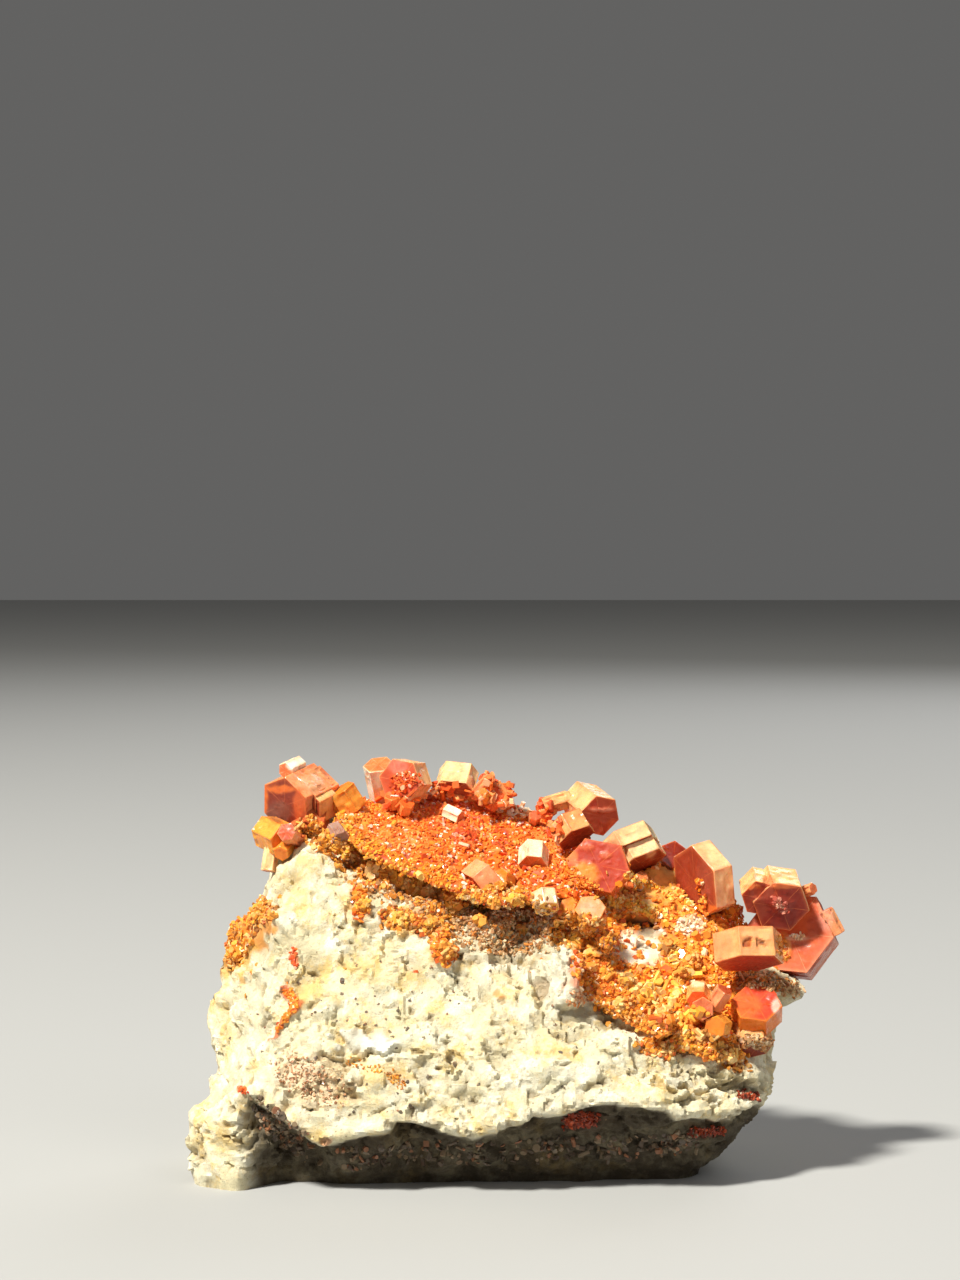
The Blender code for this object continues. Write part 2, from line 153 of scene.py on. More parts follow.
def arrays_of(mesh):
    """A mesh's points in millimetres and their normals, one in each row."""
    points = np.empty(len(mesh.vertices) * 3, np.float32)
    normals = np.empty(len(mesh.vertices) * 3, np.float32)
    mesh.vertices.foreach_get("co", points)
    mesh.vertices.foreach_get("normal", normals)
    return points.reshape(-1, 3).astype(float) / MM, normals.reshape(-1, 3).astype(float)


def put_points(mesh, points):
    mesh.vertices.foreach_set("co", (points * MM).astype(np.float32).ravel())


def corners_of(mesh):
    """The point at each corner of a mesh's faces."""
    corners = np.empty(len(mesh.loops), np.int32)
    mesh.loops.foreach_get("vertex_index", corners)
    return corners


def paint(mesh, colors, domain="CORNER"):
    """Gives each corner, or each point, its colour and alpha. On the rock, alpha is how far the colour covers
    the material's own. Elsewhere it is how glossy the crystals are."""
    layer = mesh.attributes.new("tint", "FLOAT_COLOR", domain)
    layer.data.foreach_set("color", np.asarray(colors, np.float32).ravel())


def give(mesh, material, sharp):
    """Makes this the mesh's only material, and its edges crisp where faces turn by more degrees than these."""
    mesh.set_sharp_from_angle(angle=math.radians(sharp))
    mesh.materials.clear()
    mesh.materials.append(material)


def finish_piece(piece, slot, *nodes):
    """Puts the piece on the object's one body, in place of the CAD nodes that it stands for."""
    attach(piece, "root")
    if nodes:
        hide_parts(*nodes)


class Surface:
    """Everything made so far, to look at along the camera's rays and to sprinkle crystals on."""

    def __init__(self, things):
        points, faces = [], []
        for thing in things:
            first = len(points)
            points += [vertex.co / MM for vertex in thing.data.vertices]
            faces += [[first + i for i in face.vertices] for face in thing.data.polygons]
        self.tree = BVHTree.FromPolygons(points, faces)

    def seen_at(self, px, py):
        """The point and the outward direction at a pixel, or None twice."""
        point, outward, _, _ = self.tree.ray_cast(CAMERA_PLACE, ray_of(px, py))
        return point, outward


# Materials


COLORS_MIXED = (6, 7)  # the sockets of a colour mix's two colours
MIXED = 2  # and of what comes out


class Shading:
    """A material's nodes, added one at a time. Scales are in features per millimetre."""

    def __init__(self, name, roughness):
        self.material = bpy.data.materials.new(name)
        self.material.use_nodes = True
        self.nodes = self.material.node_tree.nodes
        self.shader = self.nodes["Principled BSDF"]
        self.put(self.shader, Roughness=roughness)
        self.place = self.nodes.new("ShaderNodeTexCoord").outputs["Object"]
        self.bumps = None

    def put(self, node, **values):
        """Gives a node's sockets numbers, colours or what comes out of other nodes."""
        for name, value in values.items():
            self.feed(node.inputs[name.replace("_", " ")], value)

    def feed(self, socket, value):
        if isinstance(value, bpy.types.NodeSocket):
            self.material.node_tree.links.new(value, socket)
        elif socket.type == "RGBA":
            socket.default_value = (*value, 1)
        else:
            socket.default_value = value

    def add(self, kind, **values):
        node = self.nodes.new("ShaderNode" + kind)
        self.put(node, **values)
        return node

    def attribute(self, name):
        node = self.add("Attribute")
        node.attribute_name = name
        return node

    def noise(self, scale, detail=4.0, rough=0.6, stretch=(1, 1, 1)):
        """Noise between 0 and 1, stretched by its own share along each axis."""
        place = self.add("Mapping", Scale=stretch, Vector=self.place).outputs["Vector"]
        node = self.add("TexNoise", Scale=scale / MM, Detail=detail, Roughness=rough, Vector=place)
        return node.outputs["Fac"]

    def cells(self, scale):
        """The distance to the nearest of many scattered points."""
        return self.add("TexVoronoi", Scale=scale / MM, Vector=self.place).outputs["Distance"]

    def between(self, value, low, high, to=(0.0, 1.0)):
        """The value, from low to high, brought to 0 to 1 or to the range given."""
        node = self.add("MapRange", Value=value, From_Min=low, From_Max=high, To_Min=to[0], To_Max=to[1])
        node.interpolation_type = "SMOOTHSTEP"
        return node.outputs["Result"]

    def times(self, one, other):
        node = self.add("Math")
        node.operation = "MULTIPLY"
        for socket, value in zip(node.inputs, (one, other)):
            self.feed(socket, value)
        return node.outputs[0]

    def mixed(self, share, *colors, blend="MIX"):
        """One colour turned to the other by a share."""
        node = self.add("Mix")
        node.data_type = "RGBA"
        node.blend_type = blend
        self.feed(node.inputs[0], share)
        for index, color in zip(COLORS_MIXED, colors):
            self.feed(node.inputs[index], color)
        return node.outputs[MIXED]

    def bump(self, height, strength, depth):
        """One more layer of bumps, of this depth in millimetres."""
        node = self.add("Bump", Strength=strength, Distance=depth * MM, Height=height)
        if self.bumps:
            self.put(node, Normal=self.bumps)
        self.bumps = node.outputs["Normal"]
        self.put(self.shader, Normal=self.bumps)


CREAM = (0.78, 0.7, 0.45)
PALE = (0.9, 0.85, 0.66)
STONE_GREY = (0.5, 0.46, 0.31)
OCHRE = (0.8, 0.55, 0.17)
UMBER = (0.2, 0.13, 0.06)
# painted shade of the undercut under the front's lower edge
UNDERSIDE_SHADE = (0.045, 0.03, 0.014)
STRAW = (0.84, 0.66, 0.36)


# The rock's stains: their noise's scale, detail and roughness, where it starts and is whole, the most that it
# covers, and the colour.
STAINS = [
    (0.16, 5, 0.6, 0.52, 0.68, 0.6, STONE_GREY),
    (0.21, 7, 0.72, 0.5, 0.64, 0.85, OCHRE),
    (1.1, 6, 0.75, 0.48, 0.66, 0.7, STRAW),
    (2.6, 5, 0.8, 0.54, 0.68, 0.8, STONE_GREY),
    (6.0, 3, 0.8, 0.58, 0.7, 0.7, UMBER),
]


def rock_material():
    look = Shading("rock", 0.9)
    color = look.mixed(look.between(look.noise(0.35), 0.35, 0.65), CREAM, PALE)
    for scale, detail, rough, low, high, most, stain in STAINS:
        color = look.mixed(look.between(look.noise(scale, detail, rough), low, high, (0, most)), color, stain)
    tint = look.attribute("tint")
    color = look.mixed(tint.outputs["Alpha"], color, tint.outputs["Color"])
    # painted shade in the recesses, darkened toward umber together with the brown of the pits
    hollow = look.attribute("hollow").outputs["Fac"]
    color = look.mixed(look.times(hollow, 0.7), color, UMBER)
    # painted shade: the rock under its lower edge turns nearly black
    under = look.between(look.noise(0.35, 5, 0.7), 0.3, 0.6, (0.8, 0.98))
    color = look.mixed(look.times(look.attribute("under").outputs["Fac"], under), color, UNDERSIDE_SHADE)
    specks = look.between(look.cells(1.1), 0.1, 0.16, (0.75, 0))
    thinned = look.times(specks, look.between(look.noise(0.3, 2), 0.5, 0.62))
    color = look.mixed(thinned, color, UMBER)
    worn = look.between(look.noise(0.8), 0.3, 0.7, (0.8, 0.98))
    look.put(look.shader, Base_Color=color, Roughness=worn)
    look.bump(look.noise(2.6, 8, 0.75), 0.8, 0.26)
    look.bump(look.cells(5.0), 0.5, 0.06)
    return look.material


DEPTH = (0.55, 0.2, 0.1)  # what the crystals' colours are multiplied by where they look deeper
STREAK = (0.95, 0.5, 0.24)
FLECK = (0.7, 0.1, 0.03)


def crystal_material(name, roughness=0.26, glow=0.3, coat=0.08, index=1.42):
    """The resinous, slightly translucent crystals, tinted by each face's colour, which also carries painted
    glow, glints and shade.
    """
    look = Shading(name, roughness)
    attribute = look.attribute("tint")
    tint = attribute.outputs["Color"]
    deep = look.mixed(0.8, tint, DEPTH, blend="MULTIPLY")
    color = look.mixed(look.between(look.noise(0.7, 5, 0.65), 0.36, 0.72, (0, 0.5)), tint, deep)
    streaks = look.between(look.noise(1.1, 5, 0.7, (1, 1, 3.2)), 0.58, 0.8, (0, 0.16))
    color = look.mixed(streaks, color, STREAK)
    flecks = look.between(look.cells(2.2), 0.05, 0.16, (0.5, 0))
    thinned = look.times(flecks, look.between(look.noise(0.5, 2), 0.5, 0.65))
    color = look.mixed(thinned, color, FLECK)
    worn = look.between(look.noise(1.7, 4), 0.3, 0.7, (0.7, 1.5))
    dull = look.between(attribute.outputs["Alpha"], 0, 1, (0.6, roughness))
    look.put(
        look.shader, Base_Color=color, Roughness=look.times(worn, dull), IOR=index,
        Subsurface_Weight=glow, Subsurface_Scale=0.7 * MM, Subsurface_Radius=(1.0, 0.3, 0.12),
        Coat_Weight=coat, Coat_Roughness=0.12,
    )
    look.bump(look.noise(0.8, 3, 0.5), 0.25, 0.15)
    look.bump(look.noise(5.0, 4, 0.6), 0.22, 0.06)
    return look.material


# Marks

WARP = 5  # how far noise moves a mark, in pixels
RAGGED_SPOT, RAGGED_LINE = 0.5, 0.3  # how far it shifts a mark's edge, as a share of the half width


class Spot(NamedTuple):
    """A patch of a surface: the pixel of its middle, its half width and half height in pixels, its colour,
    how far that covers the surface's own, how far it is sunk in millimetres, and how much rougher it is."""

    x: float
    y: float
    wide: float
    high: float
    color: tuple
    cover: float = 0.8
    sunk: float = 0.0
    rough: float = 1.0


def way_to_line(line, px, py):
    """The distance of many pixels to a line of points."""
    best = np.full(len(px), 1e9)
    for (x0, y0), (x1, y1) in zip(line, line[1:]):
        dx, dy = x1 - x0, y1 - y0
        share = np.clip(((px - x0) * dx + (py - y0) * dy) / (dx * dx + dy * dy), 0, 1)
        best = np.minimum(best, np.hypot(x0 + dx * share - px, y0 + dy * share - py))
    return best


def marks_of(spots, lines, ragged):
    """The spots and lines as (distance function, colour, cover, sunk, rough, raggedness)."""
    marks = []
    for spot in (Spot(*row) for row in spots):
        def way(px, py, s=spot):
            return np.hypot((px - s.x) / s.wide, (py - s.y) / s.high)
        marks.append((way, spot.color, spot.cover, spot.sunk, spot.rough, ragged))
    for line, wide, color, cover, sunk in lines:
        def way(px, py, line=line, wide=wide):
            return way_to_line(line, px, py) / wide
        marks.append((way, color, cover, sunk, 1, RAGGED_LINE))
    return marks


def marked(marks, px, py, facing, warp):
    """Each point's colour and how far it covers, how far the point is sunk, and how rough it is."""
    warp_x, warp_y, warp_way = warp.T
    tint = np.tile(np.array((*CREAM, 0.0)), (len(px), 1))
    sunk = np.zeros(len(px))
    rough = np.ones(len(px))
    for distance, color, cover, depth, rougher, ragged in marks:
        way = distance(px + warp_x * WARP, py + warp_y * WARP) + warp_way * ragged
        share = smooth(1.25, 0.7, way) * facing
        weight = share * cover
        covered = weight + tint[:, 3] * (1 - weight)
        fresh = weight / np.maximum(covered, 1e-6)
        tint[:, :3] += (np.array(color) - tint[:, :3]) * fresh[:, None]
        tint[:, 3] = covered
        sunk += share * depth
        rough += share * (rougher - 1)
    return tint, sunk, rough


# Rock

ROCK_VOXEL = 0.6
GAP_CLOSED = 0.28  # how far the rock swells, to close the sockets' gaps
FLAT_BELOW = 0.5  # the foot stays flat under this height
LOOSE_ABOVE = 2.5  # and has its whole relief above this one
SHARP_STONE = 26  # degrees between two faces from which their edge is crisp

# The crisp edge that the rock's front breaks along above its undercut, in pixels.
LOWER_EDGE = [
    (243, 1090), (262, 1106), (285, 1120), (306, 1137), (320, 1145), (350, 1139), (390, 1128), (398, 1121),
    (416, 1122), (440, 1131), (470, 1136), (505, 1129), (530, 1119), (560, 1113), (598, 1104), (612, 1103),
    (640, 1107), (665, 1109), (674, 1117), (700, 1116), (716, 1121), (738, 1113), (764, 1100),
]
EDGE_LEFT, EDGE_RIGHT = (236, 262), (790, 765)  # the pixels over which it comes in from each end
UNDERCUT = 2.4  # how far the rock steps back there
LIP = 0.35  # how far the edge itself stands out

# Where the front turns to the duller left side, as (y, x) in pixels.
LEFT_TURN = [
    (905, 262), (940, 292), (965, 291), (991, 287), (1008, 297), (1023, 281), (1039, 272), (1062, 262),
]

TURN_TOP, TURN_FOOT = (880, 925), (1075, 1045)
LEFT_STEP = 0.9  # how far that side lies back

# Where the rock lies in layers: on the slope and, more clearly, at the right foot, as pixels to fade in over.
SLOPE_LAYERS = (380, 620), (940, 1040)
FOOT_LAYERS = (600, 680), (1030, 1070)

ORANGE = (0.8, 0.3, 0.04)
RED_ORANGE = (0.72, 0.14, 0.03)
FAWN = (0.74, 0.54, 0.31)
DARK = (0.09, 0.06, 0.035)
BROWN = (0.33, 0.2, 0.09)


ROCK_SPOTS = [
    # the shade under the right end's large crystals
    (760, 981, 46, 12, (0.2, 0.12, 0.05), 0.9, 0.2),
    (795, 992, 18, 10, (0.46, 0.34, 0.16), 0.8, 0.0, 1.5),
    # left side, its upper part greyed as painted shade where it turns away, and the orange lumps on its edge
    (300, 880, 26, 24, (0.55, 0.53, 0.38), 0.5, 0.0, 1.3),
    (262, 990, 20, 30, (0.72, 0.6, 0.36), 0.4),
    # painted shade: the grey of the left side's upper part
    (272, 955, 22, 26, STONE_GREY, 0.55),
    (245, 1000, 30, 45, (0.7, 0.66, 0.48), 0.35),
    (250, 922, 24, 26, ORANGE, 0.95),
    (236, 955, 16, 22, (0.8, 0.42, 0.08), 0.9),
    (294, 958, 4.5, 8, RED_ORANGE, 0.9, -0.15),
    (243, 1090, 6, 4, RED_ORANGE, 0.95, -0.2),
    (250, 1118, 14, 24, (0.24, 0.19, 0.11), 0.6, 0.5, 1.7),
    (232, 1140, 26, 14, (0.34, 0.27, 0.15), 0.55, 0.3, 1.8),
    # the brown-pink pitted patch, and the smooth flake above it
    (312, 1084, 44, 30, FAWN, 0.75, 0.2, 1.6),
    (330, 1092, 26, 16, BROWN, 0.35, 0.2, 1.6),
    (300, 1070, 20, 12, (0.6, 0.36, 0.24), 0.4, 0.0, 1.5),
    (372, 1043, 36, 13, (0.84, 0.83, 0.7), 0.9, -0.55, 0.25),
    (384, 1072, 26, 9, OCHRE, 0.7),
    (400, 1078, 14, 7, (0.72, 0.44, 0.14), 0.6),
    (358, 1058, 16, 5, OCHRE, 0.6),
    (300, 1120, 20, 5, OCHRE, 0.3),
    (326, 1140, 6, 4, RED_ORANGE, 0.7),
    # ochre stains over the front
    (318, 975, 26, 22, OCHRE, 0.4),
    (306, 1000, 12, 8, OCHRE, 0.55),
    (337, 1000, 14, 4, OCHRE, 0.6),
    (395, 975, 22, 8, OCHRE, 0.35),
    (415, 960, 8, 26, (0.88, 0.74, 0.4), 0.4),
    (497, 993, 5, 6, ORANGE, 0.85),
    (507, 1004, 5, 3, (0.62, 0.3, 0.18), 0.6),
    (502, 976, 14, 5, OCHRE, 0.55),
    (540, 1030, 5, 22, OCHRE, 0.5),
    (447, 1110, 8, 5, OCHRE, 0.6),
    (612, 1072, 16, 5, OCHRE, 0.4),
    (470, 1120, 26, 8, OCHRE, 0.2),
    # under the shelf of small crystals
    (330, 840, 24, 12, (0.52, 0.36, 0.16), 0.7, 0.0, 1.6),
    (372, 868, 30, 12, (0.45, 0.3, 0.12), 0.7, 0.2, 1.6),
    (418, 890, 30, 12, BROWN, 0.7, 0.5, 1.5),
    (361, 900, 9, 16, ORANGE, 0.9, -0.2, 1.6),
    (376, 905, 12, 12, BROWN, 0.6, 0.3, 1.6),
    (400, 893, 18, 12, (0.5, 0.46, 0.36), 0.5),
    (414, 922, 28, 14, (0.76, 0.4, 0.08), 0.85, -0.25, 1.8),
    (444, 948, 12, 13, ORANGE, 0.9, -0.3, 1.6),
    (438, 925, 10, 9, (0.62, 0.36, 0.14), 0.8),
    (455, 925, 8, 26, DARK, 0.35, 0.5, 1.8),
    (500, 925, 52, 38, (0.52, 0.4, 0.24), 0.7, 0.1, 2.0),
    (478, 908, 18, 9, DARK, 0.55, 0.7, 1.6),
    (520, 905, 30, 10, BROWN, 0.55, 0.4, 1.6),
    (500, 950, 32, 16, BROWN, 0.35, 0.1, 1.8),
    (577, 935, 26, 18, (0.8, 0.42, 0.08), 0.85, -0.1, 1.5),
    # the white lump, painted shade in its cavity, the painted shadow beside it and the druse above that
    (556, 975, 24, 34, PALE, 0.95, -0.2, 1.3),
    (537, 990, 6, 13, BROWN, 0.8, 0.5),
    (596, 975, 24, 24, RED_ORANGE, 0.85, -0.2, 1.7),
    (590, 1014, 26, 8, DARK, 0.75, 0.6),
    (608, 1022, 14, 8, DARK, 0.6, 0.5),
    (612, 1000, 16, 8, CREAM, 0.8),
    # pale rock that shows through the crust, and painted shade in the hole under its ledge
    (640, 950, 22, 11, PALE, 0.95, -0.3, 1.0),
    (650, 928, 16, 7, (0.35, 0.32, 0.22), 0.8, 0.5),
    (632, 926, 10, 7, DARK, 0.8, 0.6),
    (645, 966, 16, 5, CREAM, 0.8),
    (648, 968, 10, 1.6, DARK, 0.7, 0.3),
    # right foot: foliated ridges, the pocket painted dark as its shade, and the orange patches under the edge,
    # darkened as painted shade
    (739, 1087, 22, 7, DARK, 0.7, 1.6, 1.0),
    (590, 1124, 22, 14, (0.22, 0.08, 0.04), 0.8, 0.0, 1.5),
    (707, 1132, 18, 7, (0.45, 0.16, 0.04), 0.8, 0.0, 1.5),
    (730, 1060, 18, 12, (0.7, 0.36, 0.12), 0.6, 0.0, 1.5),
    (660, 1048, 24, 12, (0.72, 0.44, 0.18), 0.55, 0.0, 1.4),
    # painted shade in the notch of the lower edge
    (404, 1130, 11, 6, DARK, 0.7, 0.9),
]

# Dark dots, as (x, y, radius) in pixels.
DOTS = [
    (454, 1064, 4.2), (429, 1076, 3.4), (479, 1085, 2.6), (408, 1082, 2.8), (411, 1107, 3.6),
    (399, 1111, 3.8), (398, 1093, 2), (315, 1058, 4), (341, 981, 4), (342, 994, 2.6), (406, 1029, 4),
    (390, 1032, 2.6), (398, 1009, 3), (410, 1000, 2), (412, 992, 1.8), (393, 1037, 2), (423, 1038, 2.6),
    (316, 1013, 2.4), (312, 1014, 2), (322, 1012, 1.6), (348, 1021, 2.2), (336, 1021, 1.8), (366, 1012, 2),
    (386, 1019, 2.2), (365, 1024, 2.2), (376, 1025, 2), (375, 996, 1.6), (381, 962, 1.8), (357, 965, 1.8),
    (321, 1001, 1.6), (355, 999, 1.8), (357, 1004, 1.6), (378, 1004, 1.8), (453, 992, 1.8), (299, 983, 2.6),
    (264, 1028, 2.2), (262, 1051, 2.2), (258, 1014, 1.8), (230, 1039, 2), (431, 967, 2.4), (436, 962, 2),
    (490, 971, 2), (422, 993, 1.6), (447, 1014, 1.4), (450, 1000, 1.6), (518, 1001, 2), (553, 1006, 2.2),
    (555, 1025, 2.4), (558, 1036, 2), (560, 1052, 2.6), (598, 1063, 2), (563, 1087, 2.4), (577, 1047, 1.6),
    (630, 1069, 2), (350, 1115, 2.2), (354, 1112, 2.6), (396, 1048, 2), (459, 1003, 1.8), (424, 1037, 2),
    (367, 1085, 2), (330, 1090, 3.4), (318, 1072, 2.4), (338, 1079, 2.2), (345, 1096, 2.4), (325, 1103, 2),
    (296, 1083, 2),
]

FLAKE_FOOT = [(322, 1053), (336, 1060), (350, 1063), (360, 1061), (368, 1055), (385, 1056), (398, 1052)]

# Cracks and veins: their points in pixels, half width, colour, cover and depth.
LINES = [
    ([(286, 991), (294, 998), (297, 1006), (291, 1012)], 4.2, RED_ORANGE, 0.95, -0.25),
    ([(294, 1008), (284, 1020), (280, 1027)], 3.2, RED_ORANGE, 0.95, -0.2),
    ([(278, 1030), (273, 1040)], 2.4, RED_ORANGE, 0.9, -0.15),
    (FLAKE_FOOT, 1.6, DARK, 0.6, 0.5),
    ([(352, 1046), (354, 1055)], 1.2, DARK, 0.4, 0.25),
    ([(444, 1108), (452, 1116), (460, 1127)], 1.4, DARK, 0.4, 0.3),
    ([(300, 1107), (312, 1112), (330, 1108)], 1.6, DARK, 0.35, 0.4),
    ([(370, 1117), (385, 1110), (396, 1103)], 1.5, DARK, 0.35, 0.35),
    ([(602, 1050), (612, 1057), (622, 1054)], 1.5, DARK, 0.6, 0.4),
    ([(451, 975), (457, 981)], 1.6, DARK, 0.6, 0.4),
    ([(653, 1086), (668, 1092), (684, 1088), (700, 1094), (714, 1088)], 2.0, UMBER, 0.5, 0.7),
    ([(672, 1073), (684, 1070), (692, 1076), (704, 1072)], 1.6, UMBER, 0.5, 0.5),
    ([(680, 1098), (694, 1098), (708, 1104), (716, 1098)], 1.6, UMBER, 0.5, 0.5),
    ([(630, 1072), (642, 1078), (646, 1074)], 1.4, UMBER, 0.4, 0.4),
    ([(710, 1070), (722, 1077)], 2.4, DARK, 0.6, 0.7),
    ([(655, 1080), (662, 1085)], 2.2, DARK, 0.6, 0.6),
]


def refine_front(thing):
    """Halves the edges of the faces that look to the front or up, where the closest looks fall."""
    bm = bmesh.new()
    bm.from_mesh(thing.data)
    seen = [f for f in bm.faces if f.normal.y < -0.25 or (f.normal.z > 0.5 and f.normal.y < 0)]
    edges = {edge for face in seen for edge in face.edges}
    bmesh.ops.subdivide_edges(bm, edges=list(edges), cuts=1, use_grid_fill=True, smooth=0.0)
    bm.to_mesh(thing.data)
    bm.free()


def chips(place, size, seed):
    """The height of a surface broken into tilted flats of this size, about -1 to 1."""
    _, middles = noise.voronoi(place / size)
    tilt = noise.cell_vector(middles[0] * 7.3 + seed)
    step = noise.cell(middles[0] * 5.1 + seed)
    return (place / size - middles[0]).dot(tilt) * 0.9 + step - 0.5


CHIP_SEED = Vector((9, 4, 2))


def relief_of(place, layered, rough):
    """How far the broken rock stands out at a point, in millimetres, and how deep in a recess it lies, 0 to 1,
    which paints shade there.
    """
    bent = Vector((place.x, place.y, place.z * (1 + 0.9 * layered)))
    bent += noise.noise_vector(place * 0.5) * 0.7 + noise.noise_vector(place * 1.7) * 0.22
    lumps = noise.fractal(bent * 0.22, 1.0, 2.0, 3) * 0.6
    calm = 0.5 + 0.8 * smooth(-0.25, 0.35, noise.noise(place * 0.24 + CHIP_SEED))
    flats = (chips(bent, 3.4, CHIP_SEED) * 0.34 + chips(bent, 1.4, -CHIP_SEED) * 0.16) * calm
    pits = smooth(0.38, 0.6, noise.noise(bent * 0.9 + Vector((40, 0, 0))))
    grain = (noise.noise(bent * 2.6) * 0.08 + noise.noise(place * 5.2) * 0.08) * calm
    height = lumps + (flats - 0.4 * pits + grain) * rough
    hollow = 0.75 * pits - 2.2 * grain - 0.6 * flats
    return height, min(1, max(0, hollow))


def break_front(points, px, py, facing):
    """Steps the front back under its lower edge, and the left side back behind the front. Gives back how far
    each point lies under that edge, which paints the undercut's shade.
    """
    depths = points[:, 1]
    under = py - np.interp(px, *zip(*LOWER_EDGE))
    below = smooth(-1, 7, under) * smooth(*EDGE_LEFT, px) * smooth(*EDGE_RIGHT, px)
    lip = np.exp(-((under + 6) / 7) ** 2) * smooth(*EDGE_LEFT, px) * smooth(*EDGE_RIGHT, px)
    front = smooth(0, -9, depths)
    depths += UNDERCUT * below * front - LIP * lip * facing
    turn = np.interp(py, *zip(*LEFT_TURN))
    left = smooth(2, -5, px - turn) * smooth(*TURN_TOP, py) * smooth(*TURN_FOOT, py)
    depths += LEFT_STEP * left * facing
    # this share under the lower edge also paints the undercut's shade
    return below * front


def rock_marks():
    """The rock's marks, thinned so that its own colour shows through the faint ones."""
    marks = marks_of(ROCK_SPOTS, LINES, RAGGED_SPOT * 1.5)
    return [(way, color, cover ** 2, *rest) for way, color, cover, *rest in marks]


def make_rock():
    rock = copy_of_nodes("rock", "matrix")
    remesh(rock, ROCK_VOXEL)
    modify(rock, "SMOOTH", factor=0.5, iterations=3)
    refine_front(rock)
    points, normals = arrays_of(rock.data)
    px, py, facing = front_arrays(points, normals)
    places = [Vector(point) for point in points]
    warp = np.array([noise.noise_vector(place * 0.9) for place in places])
    tint, sunk, rough = marked(rock_marks(), px, py, facing, warp)
    below = break_front(points, px, py, facing)
    slope, foot = (smooth(*across, px) * smooth(*down, py) for across, down in (SLOPE_LAYERS, FOOT_LAYERS))
    layered = np.clip(0.5 * slope + foot, 0, 1)
    found = [relief_of(*values) for values in zip(places, layered * facing, rough)]
    height, hollow = np.array(found).T
    loose = smooth(0, LOOSE_ABOVE, points[:, 2])
    points += normals * ((height * loose + GAP_CLOSED) - sunk)[:, None]
    points[:, 2] = np.where(points[:, 2] < FLAT_BELOW, 0, points[:, 2])
    put_points(rock.data, points)
    rock.data.update()
    paint(rock.data, tint, "POINT")
    # both layers paint shade: in the rock's recesses, and under its lower edge
    for name, values in (("hollow", hollow), ("under", below)):
        layer = rock.data.attributes.new(name, "FLOAT", "POINT")
        layer.data.foreach_set("value", values.astype(np.float32))
    give(rock.data, rock_material(), SHARP_STONE)
    finish_piece(rock, "pale_rock", "matrix")
    return rock


# Crystals


class Look(NamedTuple):
    """A crystal's colours, of its ends, of its faces' rims and of its six sides, and its ends' gloss. The rim
    colour paints the glow of light through the edges, and also varies the sides' tone.
    """

    end: tuple
    rim: tuple
    side: tuple
    gloss: float = 0.8


RED = Look((0.27, 0.022, 0.006), (0.56, 0.1, 0.02), (0.66, 0.18, 0.06))
PINK = Look((0.54, 0.09, 0.03), (0.76, 0.26, 0.1), (0.87, 0.36, 0.16))
TAN = Look((0.25, 0.03, 0.01), (0.66, 0.17, 0.04), (0.93, 0.54, 0.22), 0.5)
CREAMY = Look((0.34, 0.05, 0.016), (0.84, 0.4, 0.15), (0.96, 0.66, 0.34), 0.5)
WHITE = Look((0.7, 0.2, 0.06), (0.9, 0.55, 0.28), (0.97, 0.82, 0.6))
AMBER = Look((0.76, 0.22, 0.025), (0.8, 0.22, 0.02), (0.88, 0.38, 0.06))
DUSTY = Look((0.45, 0.036, 0.008), (0.74, 0.19, 0.04), (0.7, 0.15, 0.04), 0.3)
VIOLET = Look((0.34, 0.19, 0.15), (0.44, 0.22, 0.14), (0.4, 0.25, 0.19))
SALMON = Look((0.6, 0.15, 0.06), (0.78, 0.26, 0.09), (0.88, 0.38, 0.17))
SMOKY = Look((0.25, 0.034, 0.012), (0.76, 0.2, 0.05), (0.88, 0.34, 0.15), 0.3)
ROSY = Look((0.54, 0.08, 0.024), (0.74, 0.26, 0.1), (0.93, 0.52, 0.23), 0.35)
SATIN = Look((0.66, 0.12, 0.035), (0.84, 0.34, 0.18), (0.42, 0.06, 0.03), 0.3)
GARNET = Look((0.3, 0.024, 0.007), (0.76, 0.2, 0.05), (0.92, 0.52, 0.22), 0.35)
FLAME = Look((0.8, 0.12, 0.02), (0.85, 0.2, 0.03), (0.9, 0.4, 0.12))
DOMED = Look((0.84, 0.34, 0.14), (0.86, 0.3, 0.04), (0.86, 0.34, 0.06), 0.3)
YELLOW = Look((0.86, 0.44, 0.06), (0.9, 0.52, 0.16), (0.84, 0.68, 0.44))
CHERRY = Look((0.6, 0.05, 0.012), (0.84, 0.2, 0.03), (0.88, 0.25, 0.03), 0.25)
RUSSET = Look((0.46, 0.034, 0.009), (0.8, 0.22, 0.05), (0.94, 0.48, 0.2), 0.3)
WEDGE = Look((0.36, 0.05, 0.018), (0.72, 0.22, 0.07), (0.95, 0.6, 0.3), 0.4)


class Crystal(NamedTuple):
    """A six-sided prism. Its axis points to heading, measured from straight ahead and positive to the right,
    and to tilt above level. Its first face looks as far up as it can until spin turns it about the axis.
    look is its colours. press is how far that face and the one opposite stand from the axis, as a share of
    the other faces' way."""

    place: tuple
    heading: float
    tilt: float
    spin: float
    radius: float
    length: float
    look: Look
    press: float = 1.0



